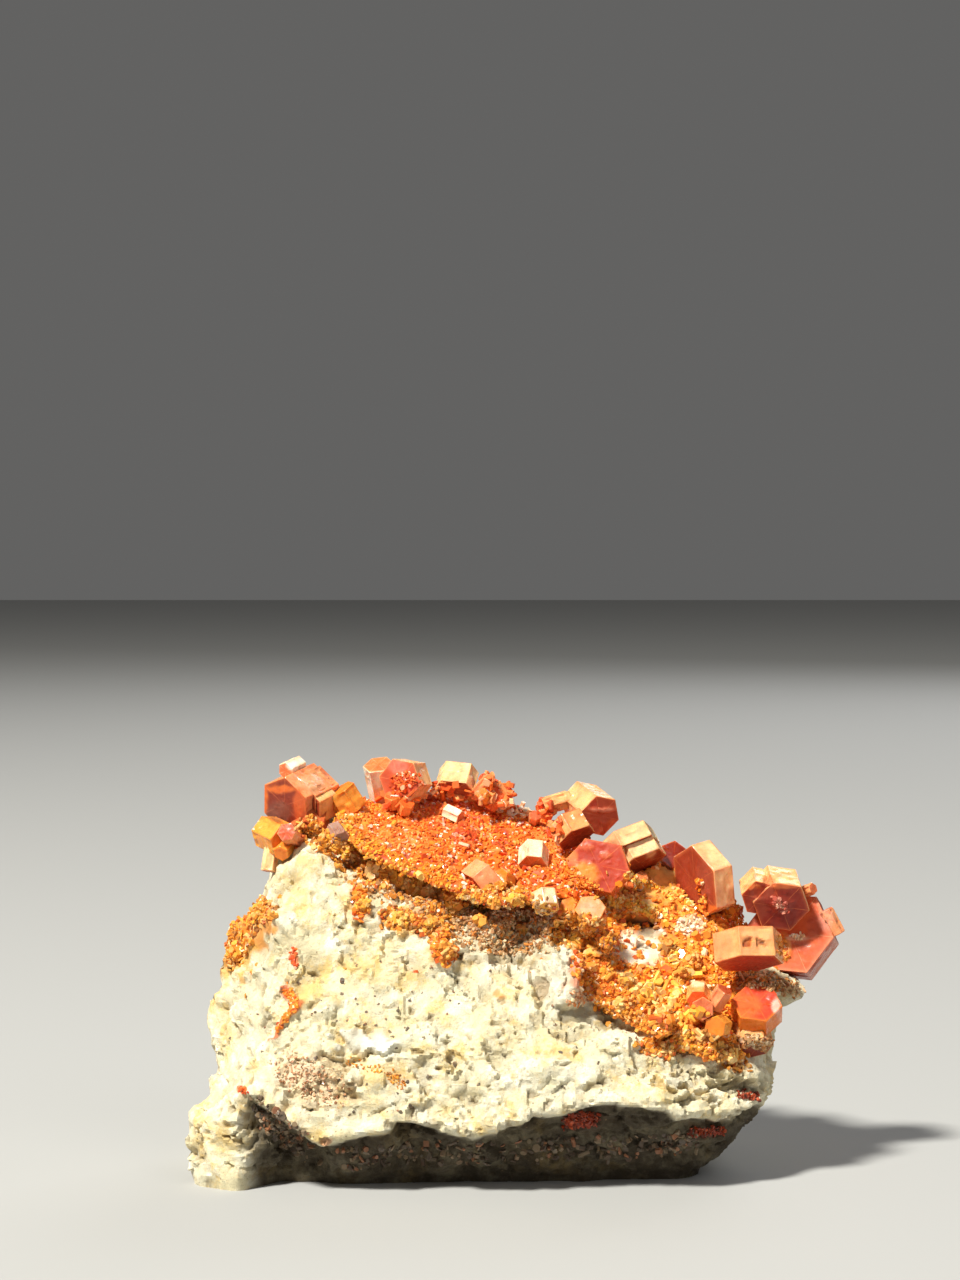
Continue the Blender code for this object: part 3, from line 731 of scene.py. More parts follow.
# The crystals of each piece, which has the name of its CAD node.
CRYSTALS = {
    "left_cluster": [
        ((-24.9, 3.2, 42.4), -36, -14, 42, 3.6, 5.6, SMOKY),
        ((-23.9, 3.6, 42.5), -36, -14, 42, 3.3, 4.6, SMOKY),
        ((-25.7, 3.0, 46.0), -36, -14, 42, 1.15, 2.7, WHITE),
        ((-23.4, 2.6, 41.8), -36, -14, 42, 2.8, 3.2, TAN),
        ((-23.6, 1.4, 39.4), -10, -40, 30, 2.3, 3.2, RED),
        ((-19.4, 3.2, 42.2), -70, 58, 0, 1.9, 3.0, AMBER),
        ((-27.5, -0.4, 38.3), -143, 11, 54, 2.1, 4.2, AMBER),
        ((-25.5, -2.6, 38.5), -15, 20, 50, 1.2, 3.6, PINK),
        ((-28.0, -1.2, 35.9), -30, -75, 30, 0.95, 3.4, CREAMY),
        ((-26.2, -2.0, 37.0), -20, -20, 30, 1.0, 3.0, AMBER),
    ],
    "small_grey_crystal": [((-20.1, -4.6, 38.9), 30, -30, 40, 1.15, 2.2, VIOLET)],
    "top_tabular_pair": [
        ((-12.4, 5.0, 44.3), -24, 4, 8, 2.8, 3.4, ROSY),
        ((-15.3, 7.4, 43.8), -20, 62, 45, 1.9, 5.4, WHITE),
        ((-13.8, 3.4, 42.1), -10, 60, 30, 1.1, 1.6, FLAME),
        ((-12.4, 2.8, 41.4), 20, 45, 10, 1.0, 1.6, FLAME),
    ],
    "top_cream_block": [
        ((-6.4, 7.3, 44.2), -14, -40, 7, 2.4, 3.4, CREAMY, 0.7),
        ((-3.4, 5.6, 43.6), 60, 45, 30, 0.75, 3.6, SALMON),
        ((-2.8, 4.8, 42.2), -30, 30, 40, 0.8, 3.0, AMBER),
        ((-1.2, 6.8, 42.5), 10, 10, 0, 1.5, 3.2, FLAME),
        ((-2.6, 6.6, 43.9), -50, 40, 30, 0.7, 2.6, PINK),
    ],
    "plate_white_block": [((-6.8, 4.5, 40.4), 60, -20, 20, 0.95, 2.2, WHITE)],
    "plate_ring_block": [((2.8, 6.8, 39.6), 10, 35, 30, 0.8, 1.8, SALMON)],
    "plate_cream_block": [((2.6, -0.8, 35.8), -4, -36, 7, 1.8, 3.0, WHITE)],
    "plate_pink_block": [
        ((-3.1, -5.4, 33.2), -68, -36, 11, 2.9, 2.5, PINK),
        ((-0.8, -5.3, 33.8), -30, 20, 30, 1.05, 2.2, AMBER),
    ],
    "yellow_clear_block": [((3.8, -9.3, 31.7), 12, -53, 10, 1.6, 2.1, YELLOW)],
    "middle_orange_pair": [
        ((9.0, -7.9, 29.9), -3, 34, 54, 1.85, 3.4, DOMED),
        ((7.0, -7.6, 30.4), -30, 24, 40, 1.3, 2.6, AMBER),
    ],
    "small_purple_crystal": [((10.8, -8.8, 26.9), 20, 10, 30, 0.9, 2.0, VIOLET)],
    "middle_tan_clump": [
        ((9.4, 4.4, 41.1), 23, -14, 13, 2.65, 5.6, ROSY),
        ((5.3, 4.8, 41.7), -68, -14, 0, 1.15, 3.6, TAN),
        ((7.1, 1.2, 38.9), 42, -49, 38, 2.5, 2.6, TAN),
    ],
    "middle_red_block": [((10.2, -2.7, 34.8), -9, 18, 10, 3.85, 2.5, DUSTY, 0.87)],
    "notched_cream_block": [
        ((13.7, 4.2, 36.6), 46, -52, 31, 4.05, 2.1, CREAMY),
        ((14.5, 4.15, 36.1), 46, -52, 31, 3.5, 4.1, CREAMY),
    ],
    "slope_cream_block": [((15.2, 2.0, 32.7), 20, 50, 30, 0.8, 1.9, WHITE)],
    "red_behind_block": [((19.2, 7.6, 34.9), 10, 20, 40, 1.8, 3.0, RED)],
    "tall_wedge": [((22.7, 1.7, 32.9), -59, -11, 37, 4.65, 2.7, WEDGE)],
    "right_clump": [
        ((28.95, -1.2, 31.9), -1, -17, 12, 2.35, 4.2, GARNET),
        ((31.2, -1.0, 31.1), 3, -21, 9, 3.4, 4.4, GARNET),
        ((33.1, 2.2, 26.2), -15, 19, 4, 5.3, 4.2, SATIN),
        ((37.5, -0.4, 28.2), 80, -62, 30, 0.9, 3.2, SALMON),
        ((34.7, 1.0, 31.7), 40, 20, 30, 0.75, 2.2, SALMON),
    ],
    "right_tan_block": [((27.0, -8.1, 26.1), 7, -68, 5, 4.1, 3.5, RUSSET)],
    "low_red_pair": [
        ((27.8, -10.2, 19.3), -4, 50, 9, 2.95, 2.8, CHERRY),
        ((27.4, -10.2, 16.4), 15, -46, 40, 2.1, 3.2, TAN),
    ],
    "low_small_group": [
        ((21.1, -11.2, 21.2), -5, -15, 0, 1.35, 3.0, FLAME),
        ((23.4, -11.6, 20.9), 60, 55, 30, 1.1, 2.6, PINK),
        ((21.5, -13.0, 19.8), -5, 15, 30, 1.35, 2.8, SALMON),
        ((23.2, -13.4, 18.0), -20, 5, 40, 1.35, 3.0, AMBER),
    ],
    "low_left_block": [((16.8, -14.2, 18.0), -20, 12, 30, 1.4, 3.0, AMBER)],
    "back_left_block": [((-18.0, 14.2, 37.2), 165, 30, 42, 2.6, 4.4, RED)],
    "back_middle_pair": [
        ((-3.6, 15.0, 36.6), 190, 34, 34, 3.0, 4.6, TAN),
        ((0.2, 14.0, 36.8), 150, 48, 50, 1.9, 3.8, RED),
    ],
    "back_right_block": [((14.6, 12.8, 32.2), 200, 36, 56, 2.5, 4.2, TAN)],
    "back_low_block": [((24.2, 10.6, 26.4), 140, 26, 38, 2.0, 3.8, RED)],
}

# Which crystal material each piece takes. All others take red_crystal.
CRYSTAL_SLOTS = {
    "tan_crystal": [
        "top_cream_block", "plate_white_block", "plate_cream_block", "middle_tan_clump",
        "slope_cream_block", "notched_cream_block", "right_tan_block",
    ],
    "orange_crystal": ["yellow_clear_block", "middle_orange_pair", "low_small_group", "low_left_block"],
    "grey_crystal": ["small_grey_crystal", "small_purple_crystal"],
}


# Patches on the crystals' faces that look to the camera.
FACE_SPOTS = [
    # left cluster: the strip along the dark end, its left shade, and the step on the face above it
    (299, 804, 6, 16, (0.66, 0.13, 0.03), 0.75),
    (279, 812, 13, 11, (0.22, 0.075, 0.045), 0.7),
    (263, 799, 5, 15, (0.8, 0.17, 0.02), 0.9),
    (280, 789, 15, 4, (0.8, 0.18, 0.03), 0.85),
    (310, 783, 12, 7, (0.9, 0.45, 0.25), 0.5, -0.15),
    # a painted highlight on the small crystal at the top
    (292, 766, 6, 4, (0.97, 0.86, 0.74), 0.8),
    (262, 823, 8, 5, (0.92, 0.36, 0.06), 0.6),
    # top pair: druse over the lower left of the pink end, and its warm edge
    (404, 780, 13, 9, (0.74, 0.1, 0.02), 0.75, -0.15),
    (372, 786, 7, 12, (0.97, 0.8, 0.62), 0.8),
    (398, 766, 10, 7, (0.78, 0.28, 0.2), 0.5),
    # middle: the ridges and the red spot on the pink end
    (602, 810, 13, 2.6, (0.84, 0.34, 0.21), 0.5, -0.16),
    (594, 804, 4, 3, (0.62, 0.05, 0.02), 0.85, 0.08),
    (612, 825, 6, 6, (0.8, 0.18, 0.05), 0.5),
    # middle red block: druse over its lower left and pale knobs
    (584, 876, 15, 14, (0.88, 0.28, 0.03), 0.85, -0.1),
    (572, 858, 6, 8, (0.86, 0.3, 0.08), 0.6),
    (586, 847, 8, 3, (0.74, 0.2, 0.08), 0.5, -0.12),
    (606, 855, 6, 3.5, (0.72, 0.18, 0.07), 0.5, -0.12),
    (612, 846, 8, 6, (0.5, 0.08, 0.03), 0.5),
    (614, 874, 8, 11, (0.46, 0.05, 0.015), 0.5),
    # notch of the cream block
    (650, 850, 6, 8, (0.97, 0.74, 0.46), 0.5),
    # tall wedge: its darker left end, and the low edge
    (704, 880, 8, 22, (0.4, 0.09, 0.05), 0.45),
    (706, 909, 14, 4, (0.85, 0.22, 0.03), 0.8),
    # right clump: the pink tuft, red-brown fronts, the step between the tops
    (782, 905, 11, 8, (0.34, 0.05, 0.025), 0.5, -0.15),
    (770, 881, 6, 6, (0.55, 0.12, 0.04), 0.7, 0.3),
    (756, 908, 12, 16, (0.34, 0.09, 0.045), 0.5),
    (815, 925, 8, 10, (0.5, 0.1, 0.07), 0.4),
    (783, 948, 8, 15, (0.86, 0.38, 0.1), 0.75, -0.1),
    (788, 954, 5, 4, (0.78, 0.2, 0.04), 0.7, -0.1),
    (812, 935, 6, 4, (0.62, 0.14, 0.07), 0.7, -0.15),
    (797, 938, 12, 3, (0.8, 0.5, 0.34), 0.7, -0.15),
    (802, 944, 9, 2, (0.55, 0.18, 0.12), 0.6, 0.1),
    (826, 920, 8, 12, (0.86, 0.4, 0.28), 0.5),
    (752, 887, 10, 3, (0.8, 0.22, 0.05), 0.7),
    (784, 886, 16, 3, (0.8, 0.22, 0.06), 0.7),
    # the tan block's salmon left side and red foot
    (722, 944, 11, 15, (0.86, 0.3, 0.13), 0.65),
    (744, 965, 32, 7, (0.5, 0.06, 0.02), 0.85),
    # low right: the bump, painted glints on the red block's right edge, and the flame block's pale top
    (771, 995, 5, 3.4, (0.6, 0.05, 0.02), 0.8, -0.2),
    (744, 1006, 18, 14, (0.88, 0.22, 0.03), 0.4),
    (776, 1006, 4, 8, (0.95, 0.6, 0.48), 0.7),
    (781, 1016, 4, 7, (0.95, 0.55, 0.42), 0.6),
    (698, 984, 10, 3.2, (0.95, 0.7, 0.46), 0.8),
    (726, 1004, 5, 5, (0.88, 0.26, 0.04), 0.8),
    # small orange pair in the middle: the pale dome and its rim
    (590, 908, 8, 6, (0.84, 0.42, 0.24), 0.6, -0.1),
    (764, 893, 13, 6, (0.46, 0.09, 0.04), 0.85, 0.15),
    # pink block on the shelf: its raised rim and red-orange underside
    (474, 888, 12, 8, (0.8, 0.17, 0.04), 0.5),
]


# Pits with straight edges: their corners in pixels, clockwise, colour, cover and depth. Their dark colour
# paints the shade inside them.
FACE_PITS = [
    ([(745, 939), (752.5, 937.5), (751, 946), (743.5, 946)], (0.42, 0.1, 0.02), 0.95, 0.3),
    ([(756.5, 937.5), (759.5, 938), (768.5, 945.8), (756.5, 945.8)], (0.36, 0.12, 0.04), 0.9, 0.3),
]


def way_into(corners, px, py):
    """1 on the edge of a patch with straight sides, less inside it and more outside, by half pixels."""
    way = np.full(len(px), -1e9)
    for (x0, y0), (x1, y1) in zip(corners, corners[1:] + corners[:1]):
        length = math.hypot(x1 - x0, y1 - y0)
        way = np.maximum(way, ((y1 - y0) * (px - x0) - (x1 - x0) * (py - y0)) / length)
    return 1 + way / 2


def face_marks():
    marks = marks_of(FACE_SPOTS, [], RAGGED_SPOT)
    for corners, color, cover, depth in FACE_PITS:
        def way(px, py, corners=corners):
            return way_into(corners, px, py)
        marks.append((way, color, cover, depth, 1, 0))
    return marks


DULLER = 0.2  # how much of their gloss the patches take


def mark_faces(mesh):
    """Works the patches of the crystals' faces into a mesh: its places and its corner colours."""
    points, normals = arrays_of(mesh)
    px, py, facing = front_arrays(points, normals)
    warp = np.array([noise.noise_vector(Vector(point) * 1.3) for point in points])
    tint, sunk, _ = marked(face_marks(), px, py, facing, warp * 0.25)
    put_points(mesh, points - normals * sunk[:, None])
    tint = tint[corners_of(mesh)]
    layer = mesh.attributes["tint"].data
    colors = np.empty(len(tint) * 4, np.float32)
    layer.foreach_get("color", colors)
    colors = colors.reshape(-1, 4)
    cover = tint[:, 3:]
    colors[:, :3] += (tint[:, :3] - colors[:, :3]) * cover
    colors[:, 3:] *= 1 - DULLER * cover
    layer.foreach_set("color", colors.ravel())


STEP = 0.24  # between a crystal's mesh points
CHAMFER = 0.09  # the worn edge of a crystal
SHARP_CRYSTAL = 28


def crystal_frame(crystal):
    """The matrix that takes a prism standing on the origin to its place."""
    heading, tilt = math.radians(crystal.heading), math.radians(crystal.tilt)
    level = math.cos(tilt)
    axis = Vector((math.sin(heading) * level, -math.cos(heading) * level, math.sin(tilt)))
    top = Vector((0, 0, 1))
    top = (top - axis * axis.dot(top)).normalized()
    turn = Matrix((top.cross(axis), top, axis)).transposed().to_4x4()
    spin = Matrix.Rotation(-math.radians(crystal.spin), 4, "Z")
    return Matrix.Translation(Vector(crystal.place) - MIDDLE) @ turn @ spin


def outline(radius, press):
    """The corners of a six-sided outline whose first face looks along +Y."""
    apothem = radius * math.cos(math.pi / SIDES)
    pressed = apothem * press
    shoulder = (2 * apothem - pressed) / math.sqrt(3)
    corners = [(radius, 0), (shoulder, pressed), (-shoulder, pressed)]
    return corners + [(-x, -y) for x, y in corners]


def rings_of(crystal):
    """The crystal's rings of mesh points from end to end, as (share of the whole width, height, face)."""
    half = crystal.length / 2
    inner = 1 - CHAMFER / crystal.radius
    caps = max(3, round(crystal.radius / STEP))
    rows = max(3, round(crystal.length / STEP))
    cap = [inner * step / caps for step in range(1, caps + 1)]
    rings = [(share, -half, "end") for share in cap]
    reach = half - CHAMFER
    rings += [(1, reach * (2 * row / rows - 1), "side") for row in range(rows + 1)]
    return rings + [(share, half, "end") for share in reversed(cap)]


def ring_points(crystal):
    """Points round the outline, as (point, direction outward, share of the way along the side)."""
    corners = [Vector(corner) for corner in outline(crystal.radius, crystal.press)]
    cut = CHAMFER * 0.6
    points = []
    for corner, after in zip(corners, corners[1:] + corners[:1]):
        along = (after - corner).normalized()
        outward = Vector((along.y, -along.x))
        if outward.dot(corner + after) < 0:
            outward.negate()
        reach = (after - corner).length
        steps = max(2, round(reach / STEP))
        for share in (step / steps for step in range(steps + 1)):
            points.append((corner + along * (cut + (reach - 2 * cut) * share), outward, share))
    return points


def side_of(outward):
    """The number of the side that looks this way."""
    return round(math.degrees(math.atan2(outward.y, outward.x)) / 60)


def end_relief(point, share, radius, seed):
    """How far an end face stands out: steps of growth round a slightly sunken middle, and small bumps."""
    place = Vector((point.x, point.y, seed))
    grown = share + 0.16 * noise.noise(place * 0.7)
    steps = math.floor(grown * 4) / 4
    sunk = (1 - steps) * 0.05 * min(2.0, radius) * (0.3 + noise.cell(Vector((seed, 3, 5))))
    bumps = max(0.0, noise.noise(place * 1.9) - 0.2) * 0.2
    return -sunk * smooth(1.0, 0.86, share) + bumps * smooth(0.97, 0.8, share)


def side_relief(along, height, side, length, seed):
    """How far a side stands out: blocks of growth that end in steps, and faint waves."""
    place = Vector((along * 2.2, height * 0.9, seed + side * 7))
    column = math.floor(along * 2.3 + noise.noise(place * 1.2))
    block = noise.cell(Vector((column, math.floor(height * 0.8), seed + side)))
    ripples = noise.noise(Vector((along * 1.2, height * 3.5, seed - side))) * 0.035
    rim = smooth(0, 0.12, along) * smooth(1, 0.88, along) * smooth(0.5, 0.42, abs(height) / length)
    return (block * 0.1 - 0.07) * rim + ripples


TUCK = 0.35  # mm; how little a crystal may stand out of a larger one's end


def tucked(spot, hosts):
    """The spot, or a deeper one where it barely stands out of the end of a larger crystal."""
    for host, frame_of, back in hosts:
        local = back @ spot
        above = abs(local.z) - host.length / 2
        if abs(above) < TUCK and math.hypot(local.x, local.y) < host.radius * 0.9:
            local.z -= math.copysign(above + TUCK, local.z)
            return frame_of @ local
    return spot


def crystal_points(crystal, rings, outer, seed):
    """The places of a crystal's mesh points before it is turned, ring by ring."""
    for share, height, face in rings:
        ring = []
        for point, outward, along in outer:
            spot = point * share
            if face == "end":
                rise = end_relief(spot, share, crystal.radius, seed + height) * (1 if height > 0 else -1)
                ring.append(Vector((spot.x, spot.y, height + rise)))
            else:
                push = side_relief(along, height, side_of(outward), crystal.length, seed)
                ring.append(Vector((spot.x + outward.x * push, spot.y + outward.y * push, height)))
        yield ring


def add_crystal(bm, tints, crystal, seed, hosts):
    """Adds one crystal to a mesh, with the colour of each corner of its faces."""
    frame_of = crystal_frame(crystal)
    rings = rings_of(crystal)
    outer = ring_points(crystal)
    made = [
        [bm.verts.new(tucked(frame_of @ place, hosts)) for place in ring]
        for ring in crystal_points(crystal, rings, outer, seed)
    ]
    count = len(outer)
    for index, (lower, upper) in enumerate(zip(made, made[1:])):
        kind = rings[index][2]
        edge = kind != rings[index + 1][2]
        for here in range(count):
            after = (here + 1) % count
            face = bm.faces.new((lower[here], lower[after], upper[after], upper[here]))
            # corners on the edges take the rim colour: painted glow of light through the edges
            worn = edge or outer[here][2] == 1
            corners = (here, index), (after, index), (after, index + 1), (here, index + 1)
            for loop, (at, ring) in zip(face.loops, corners):
                tints[face, loop.vert] = corner_tint(crystal.look, rings[ring], outer[at], worn, kind, seed)
    for ring in made[0], made[-1]:
        face = bm.faces.new(ring)
        for loop in face.loops:
            tints[face, loop.vert] = (*crystal.look.end, crystal.look.gloss)


def corner_tint(look, ring, outer, worn, kind, seed):
    """The colour and gloss at a corner of a face, which is an end's or a side's, or worn between two. Toward
    the edges the rim colour paints the glow of light through them.
    """
    share, height, _ = ring
    if kind == "end":
        return (*mix(look.end, look.rim, 0.7 if worn else 0.55 * smooth(0.86, 1.0, share)), look.gloss)
    if worn:
        return (*mix(look.side, look.rim, 0.45), 1)
    _, outward, along = outer
    tone = noise.noise(Vector((side_of(outward) * 3.1, height * 0.25, seed)))
    color = mix(look.side, look.rim, 0.18 + 0.45 * tone)
    edge = min(along, 1 - along)
    return (*mix(color, look.rim, 0.3 * smooth(0.1, 0.0, edge)), 1)


def make_crystals(name):
    bm = bmesh.new()
    tints = {}
    frames = [(crystal, crystal_frame(crystal)) for crystal in (Crystal(*row) for row in CRYSTALS[name])]
    for index, (crystal, _) in enumerate(frames):
        hosts = [(host, at, at.inverted()) for host, at in frames if host.radius > crystal.radius]
        add_crystal(bm, tints, crystal, 13.7 * index + 5 * len(name) + crystal.place[0], hosts)
    bmesh.ops.recalc_face_normals(bm, faces=bm.faces)
    layer = bm.loops.layers.float_color.new("tint")
    for face in bm.faces:
        for loop in face.loops:
            loop[layer] = tints[face, loop.vert]
        face.smooth = True
    bm.transform(Matrix.Scale(MM, 4))
    mesh = bpy.data.meshes.new(name + "_looks")
    bm.to_mesh(mesh)
    bm.free()
    mark_faces(mesh)
    slot = next((slot for slot, names in CRYSTAL_SLOTS.items() if name in names), "red_crystal")
    give(mesh, crystal_looks[slot], SHARP_CRYSTAL)
    piece = new_object(name + "_looks", mesh)
    finish_piece(piece, slot, name)
    return piece


# Grains


PLATY, STUBBY = 0.35, 0.4  # the shares of flat and of stubby grains; the rest are needles
SHINY = 0.25  # the share of grains that glint


class Grains:
    """Many small six-sided crystals, gathered into one mesh."""

    def __init__(self, seed):
        self.rng = random.Random(seed)
        self.made = []

    def add(self, place, axis, radius, length, color, gloss=1.0):
        self.made.append((*place, *axis, radius, length, self.rng.uniform(0, math.pi), *color, gloss))

    def add_loose(self, place, outward, radius, color, gloss):
        """A grain on a surface: a plate that leans, a stubby prism or a needle."""
        shape = self.rng.random()
        if shape < PLATY:
            wide, length, lean = radius * 1.35, radius * 0.5, 1.1
        elif shape < PLATY + STUBBY:
            wide, length, lean = radius, radius * self.rng.uniform(0.9, 1.8), 0.8
        else:
            wide, length, lean = radius * 0.6, radius * self.rng.uniform(2.4, 4.0), 1.3
        self.add(place + outward * 0.04, self.loose_axis(outward, lean), wide, length, color, gloss)

    def gloss_of(self, dull, shiny=1.0):
        return shiny if self.rng.random() < SHINY else dull

    def pixel_near(self, x, y, reach):
        """A random pixel within reach of one."""
        way, angle = reach * math.sqrt(self.rng.random()), self.rng.uniform(0, 2 * math.pi)
        return x + way * math.cos(angle), y + way * math.sin(angle)

    def loose_axis(self, outward, lean):
        """A direction that leans away from outward by up to this many times its own length."""
        return (Vector(outward) + Vector([self.rng.gauss(0, lean) for _ in range(3)])).normalized()

    def piece(self, name, material):
        values = np.array(self.made)
        place, axis = values[:, 0:3], values[:, 3:6]
        radius, length, spin = values[:, 6], values[:, 7], values[:, 8]
        helper = np.where(np.abs(axis[:, 2:3]) < 0.9, (0.0, 0.0, 1.0), (1.0, 0.0, 0.0))
        side = np.cross(helper, axis)
        side /= np.linalg.norm(side, axis=1)[:, None]
        up = np.cross(axis, side)
        angle = spin[:, None] + np.arange(SIDES) * math.pi / 3
        ring = side[:, None] * np.cos(angle)[:, :, None] + up[:, None] * np.sin(angle)[:, :, None]
        ring = ring * radius[:, None, None]
        half = (axis * (length / 2)[:, None])[:, None]
        points = place[:, None] + np.concatenate([ring - half, ring * 0.96 + half], axis=1)
        around = range(SIDES)
        sides = [[i, (i + 1) % SIDES, SIDES + (i + 1) % SIDES, SIDES + i] for i in around]
        prism = [list(reversed(around)), [SIDES + i for i in around], *sides]
        firsts = range(0, len(values) * 2 * SIDES, 2 * SIDES)
        faces = [[first + i for i in face] for first in firsts for face in prism]
        mesh = bpy.data.meshes.new(name)
        mesh.from_pydata((points.reshape(-1, 3) * MM).tolist(), [], faces)
        paint(mesh, np.repeat(values[:, None, 9:13], sum(map(len, prism)), 1))
        mesh.materials.append(material)
        return new_object(name, mesh)


def sprinkle(thing, count, rng):
    """Places spread evenly over a mesh's faces, each with its outward direction, in millimetres."""
    mesh = thing.data
    mesh.calc_loop_triangles()
    corners = np.empty(len(mesh.loop_triangles) * 3, np.int32)
    mesh.loop_triangles.foreach_get("vertices", corners)
    points = arrays_of(mesh)[0]
    a, b, c = (points[corners[i::3]] for i in range(3))
    across = np.cross(b - a, c - a)
    area = np.linalg.norm(across, axis=1)
    picked = np.searchsorted(np.cumsum(area) / area.sum(), rng.random(count))
    u, v = rng.random(count), rng.random(count)
    flip = u + v > 1
    u, v = np.where(flip, 1 - u, u), np.where(flip, 1 - v, v)
    places = a[picked] + (b - a)[picked] * u[:, None] + (c - a)[picked] * v[:, None]
    return places, across[picked] / area[picked][:, None]


# Shelf and crust of small crystals

SLAB_VOXEL = 0.36
BED_GLOSS = 0.4

# Patches of the shelf and of the crust. Their roughness is the share of the grains that grow there.
SLAB_SPOTS = [
    (352, 812, 22, 22, (0.9, 0.36, 0.05), 0.7),
    (400, 838, 34, 13, (0.9, 0.3, 0.05), 0.6),
    (440, 815, 34, 14, (0.84, 0.14, 0.03), 0.5),
    (466, 836, 12, 14, (0.78, 0.08, 0.012), 0.85, -0.35),
    (500, 805, 30, 8, (0.78, 0.1, 0.02), 0.6),
    (545, 845, 26, 20, (0.9, 0.28, 0.05), 0.6),
    (590, 868, 24, 12, (0.92, 0.36, 0.06), 0.6),
    (664, 884, 32, 17, (0.93, 0.46, 0.1), 0.85, -0.2, 0.12),
    (672, 868, 12, 8, (0.94, 0.56, 0.2), 0.8, -0.1, 0.2),
    (668, 904, 24, 5, (0.9, 0.36, 0.05), 0.8, -0.2, 0.4),
    (634, 904, 25, 10, (0.93, 0.6, 0.24), 0.85, -0.2, 0.35),
    # this row and the grey-brown one two rows down paint the shade of the hole under the pale ledge
    (638, 922, 17, 7, DARK, 0.9, 0.8, 0.0),
    (640, 948, 27, 17, PALE, 0.95, 0.1, 0.06),
    (650, 932, 14, 5, (0.4, 0.36, 0.24), 0.8, 0.2, 0.1),
    (640, 945, 15, 1.3, DARK, 0.7, 0.3, 0.0),
    (648, 967, 12, 1.6, DARK, 0.6, 0.25, 0.2),
    (690, 927, 13, 9, (0.95, 0.74, 0.58), 0.85, -0.1, 0.3),
    (716, 930, 16, 8, (0.92, 0.42, 0.07), 0.7),
    (680, 945, 18, 12, (0.94, 0.4, 0.05), 0.8),
    (686, 966, 11, 9, (0.97, 0.52, 0.06), 0.9),
    (678, 976, 5, 6, (0.95, 0.75, 0.22), 0.9),
    (645, 995, 22, 14, (0.94, 0.42, 0.05), 0.7),
    (622, 978, 9, 9, (0.95, 0.76, 0.4), 0.8),
    (664, 1018, 14, 12, (0.88, 0.36, 0.08), 0.7),
    (690, 1030, 20, 8, (0.76, 0.3, 0.06), 0.7),
]
SLAB_LINES = [
    # painted shadow along the orange ledge's edge
    ([(629, 889), (650, 900), (681, 911), (702, 912)], 1.5, (0.45, 0.14, 0.02), 0.8, 0.5),
    # painted shade of the hole under the pale ledge
    ([(611, 909), (623, 919), (654, 922)], 1.5, DARK, 0.8, 0.6),
    ([(609, 898), (604, 908)], 1.4, DARK, 0.6, 0.4),
]


def slab_looks(points, normals):
    """The colour and its cover, the sunk depth and the share of grains at many points of a slab."""
    px, py, facing = front_arrays(points, normals)
    warp = np.array([noise.noise_vector(Vector(point) * 0.9) for point in points])
    return marked(marks_of(SLAB_SPOTS, SLAB_LINES, RAGGED_SPOT), px, py, facing, warp * 0.6)


def make_bed(name, lumps, base, deep):
    """The CAD's slab, grown rougher and coloured."""
    bed = copy_of_nodes(name + "_looks", name)
    remesh(bed, SLAB_VOXEL)
    points, normals = arrays_of(bed.data)
    tint, sunk, _ = slab_looks(points, normals)
    places = [Vector(point) for point in points]
    rise = [noise.noise(place * 0.9) * lumps + noise.noise(place * 2.3) * lumps * 0.6 for place in places]
    points += normals * (np.array(rise) - sunk)[:, None]
    put_points(bed.data, points)
    bed.data.update()
    tones = [smooth(-0.2, 0.5, noise.noise(Vector(point) * 0.7)) for point in points]
    shade = np.array([mix(base, deep, tone) for tone in tones])
    shade += (tint[:, :3] - shade) * tint[:, 3:]
    paint(bed.data, np.hstack([shade, np.full((len(shade), 1), BED_GLOSS)])[corners_of(bed.data)])
    give(bed.data, druse, SHARP_STONE)
    return bed


def pick(rng, palette):
    """One of (weight, colour), a little varied."""
    color = rng.choices([c for _, c in palette], [w for w, _ in palette])[0]
    tone = rng.uniform(0.82, 1.15)
    return tuple(min(1, channel * tone) for channel in color)


# The shelf's overhanging rim, in pixels.
PLATE_RIM = [(336, 808), (343, 827), (352, 839), (370, 849), (393, 862), (418, 871), (438, 877), (452, 882)]

# The colours of grains, each with its weight.
# the shelf's near-white grains are painted glints
SHELF_MIX = [
    (5, (0.9, 0.19, 0.015)), (4, (0.95, 0.3, 0.03)), (2, (0.72, 0.09, 0.01)), (2, (0.95, 0.42, 0.1)),
    (1.2, (1.0, 0.86, 0.68)),
]
RIM_MIX = [(4, (0.94, 0.4, 0.03)), (3, (0.88, 0.28, 0.02)), (1, (0.95, 0.58, 0.14))]
CRUST_MIX = [
    (5, (0.94, 0.36, 0.03)), (3, (0.9, 0.25, 0.02)), (2.5, (0.97, 0.52, 0.1)), (1, (0.76, 0.13, 0.015)),
    (0.8, (0.97, 0.8, 0.48)),
]
CITRINE_MIX = [(3, (0.97, 0.54, 0.07)), (2, (0.97, 0.7, 0.26)), (2, (0.94, 0.36, 0.04))]
OCHRE_MIX = [
    (4, (0.74, 0.28, 0.03)), (3, (0.88, 0.38, 0.05)), (1.5, (0.4, 0.17, 0.04)), (1.5, (0.92, 0.58, 0.22)),
    (1, (0.68, 0.14, 0.02)),
]
BROWN_MIX = [
    (3, (0.38, 0.19, 0.07)), (3, (0.55, 0.33, 0.14)), (2, (0.72, 0.5, 0.28)), (2, (0.7, 0.27, 0.05)),
    (1.2, (0.84, 0.66, 0.42)),
]
RED_MIX = [
    (4, (0.76, 0.1, 0.015)), (3, (0.84, 0.19, 0.03)), (1, (0.5, 0.05, 0.012)), (0.5, (0.95, 0.6, 0.4)),
]
BROKEN_MIX = [
    (3, (0.86, 0.18, 0.03)), (3, (0.9, 0.33, 0.1)), (2, (0.76, 0.1, 0.02)), (1.4, (0.93, 0.52, 0.28)),
]
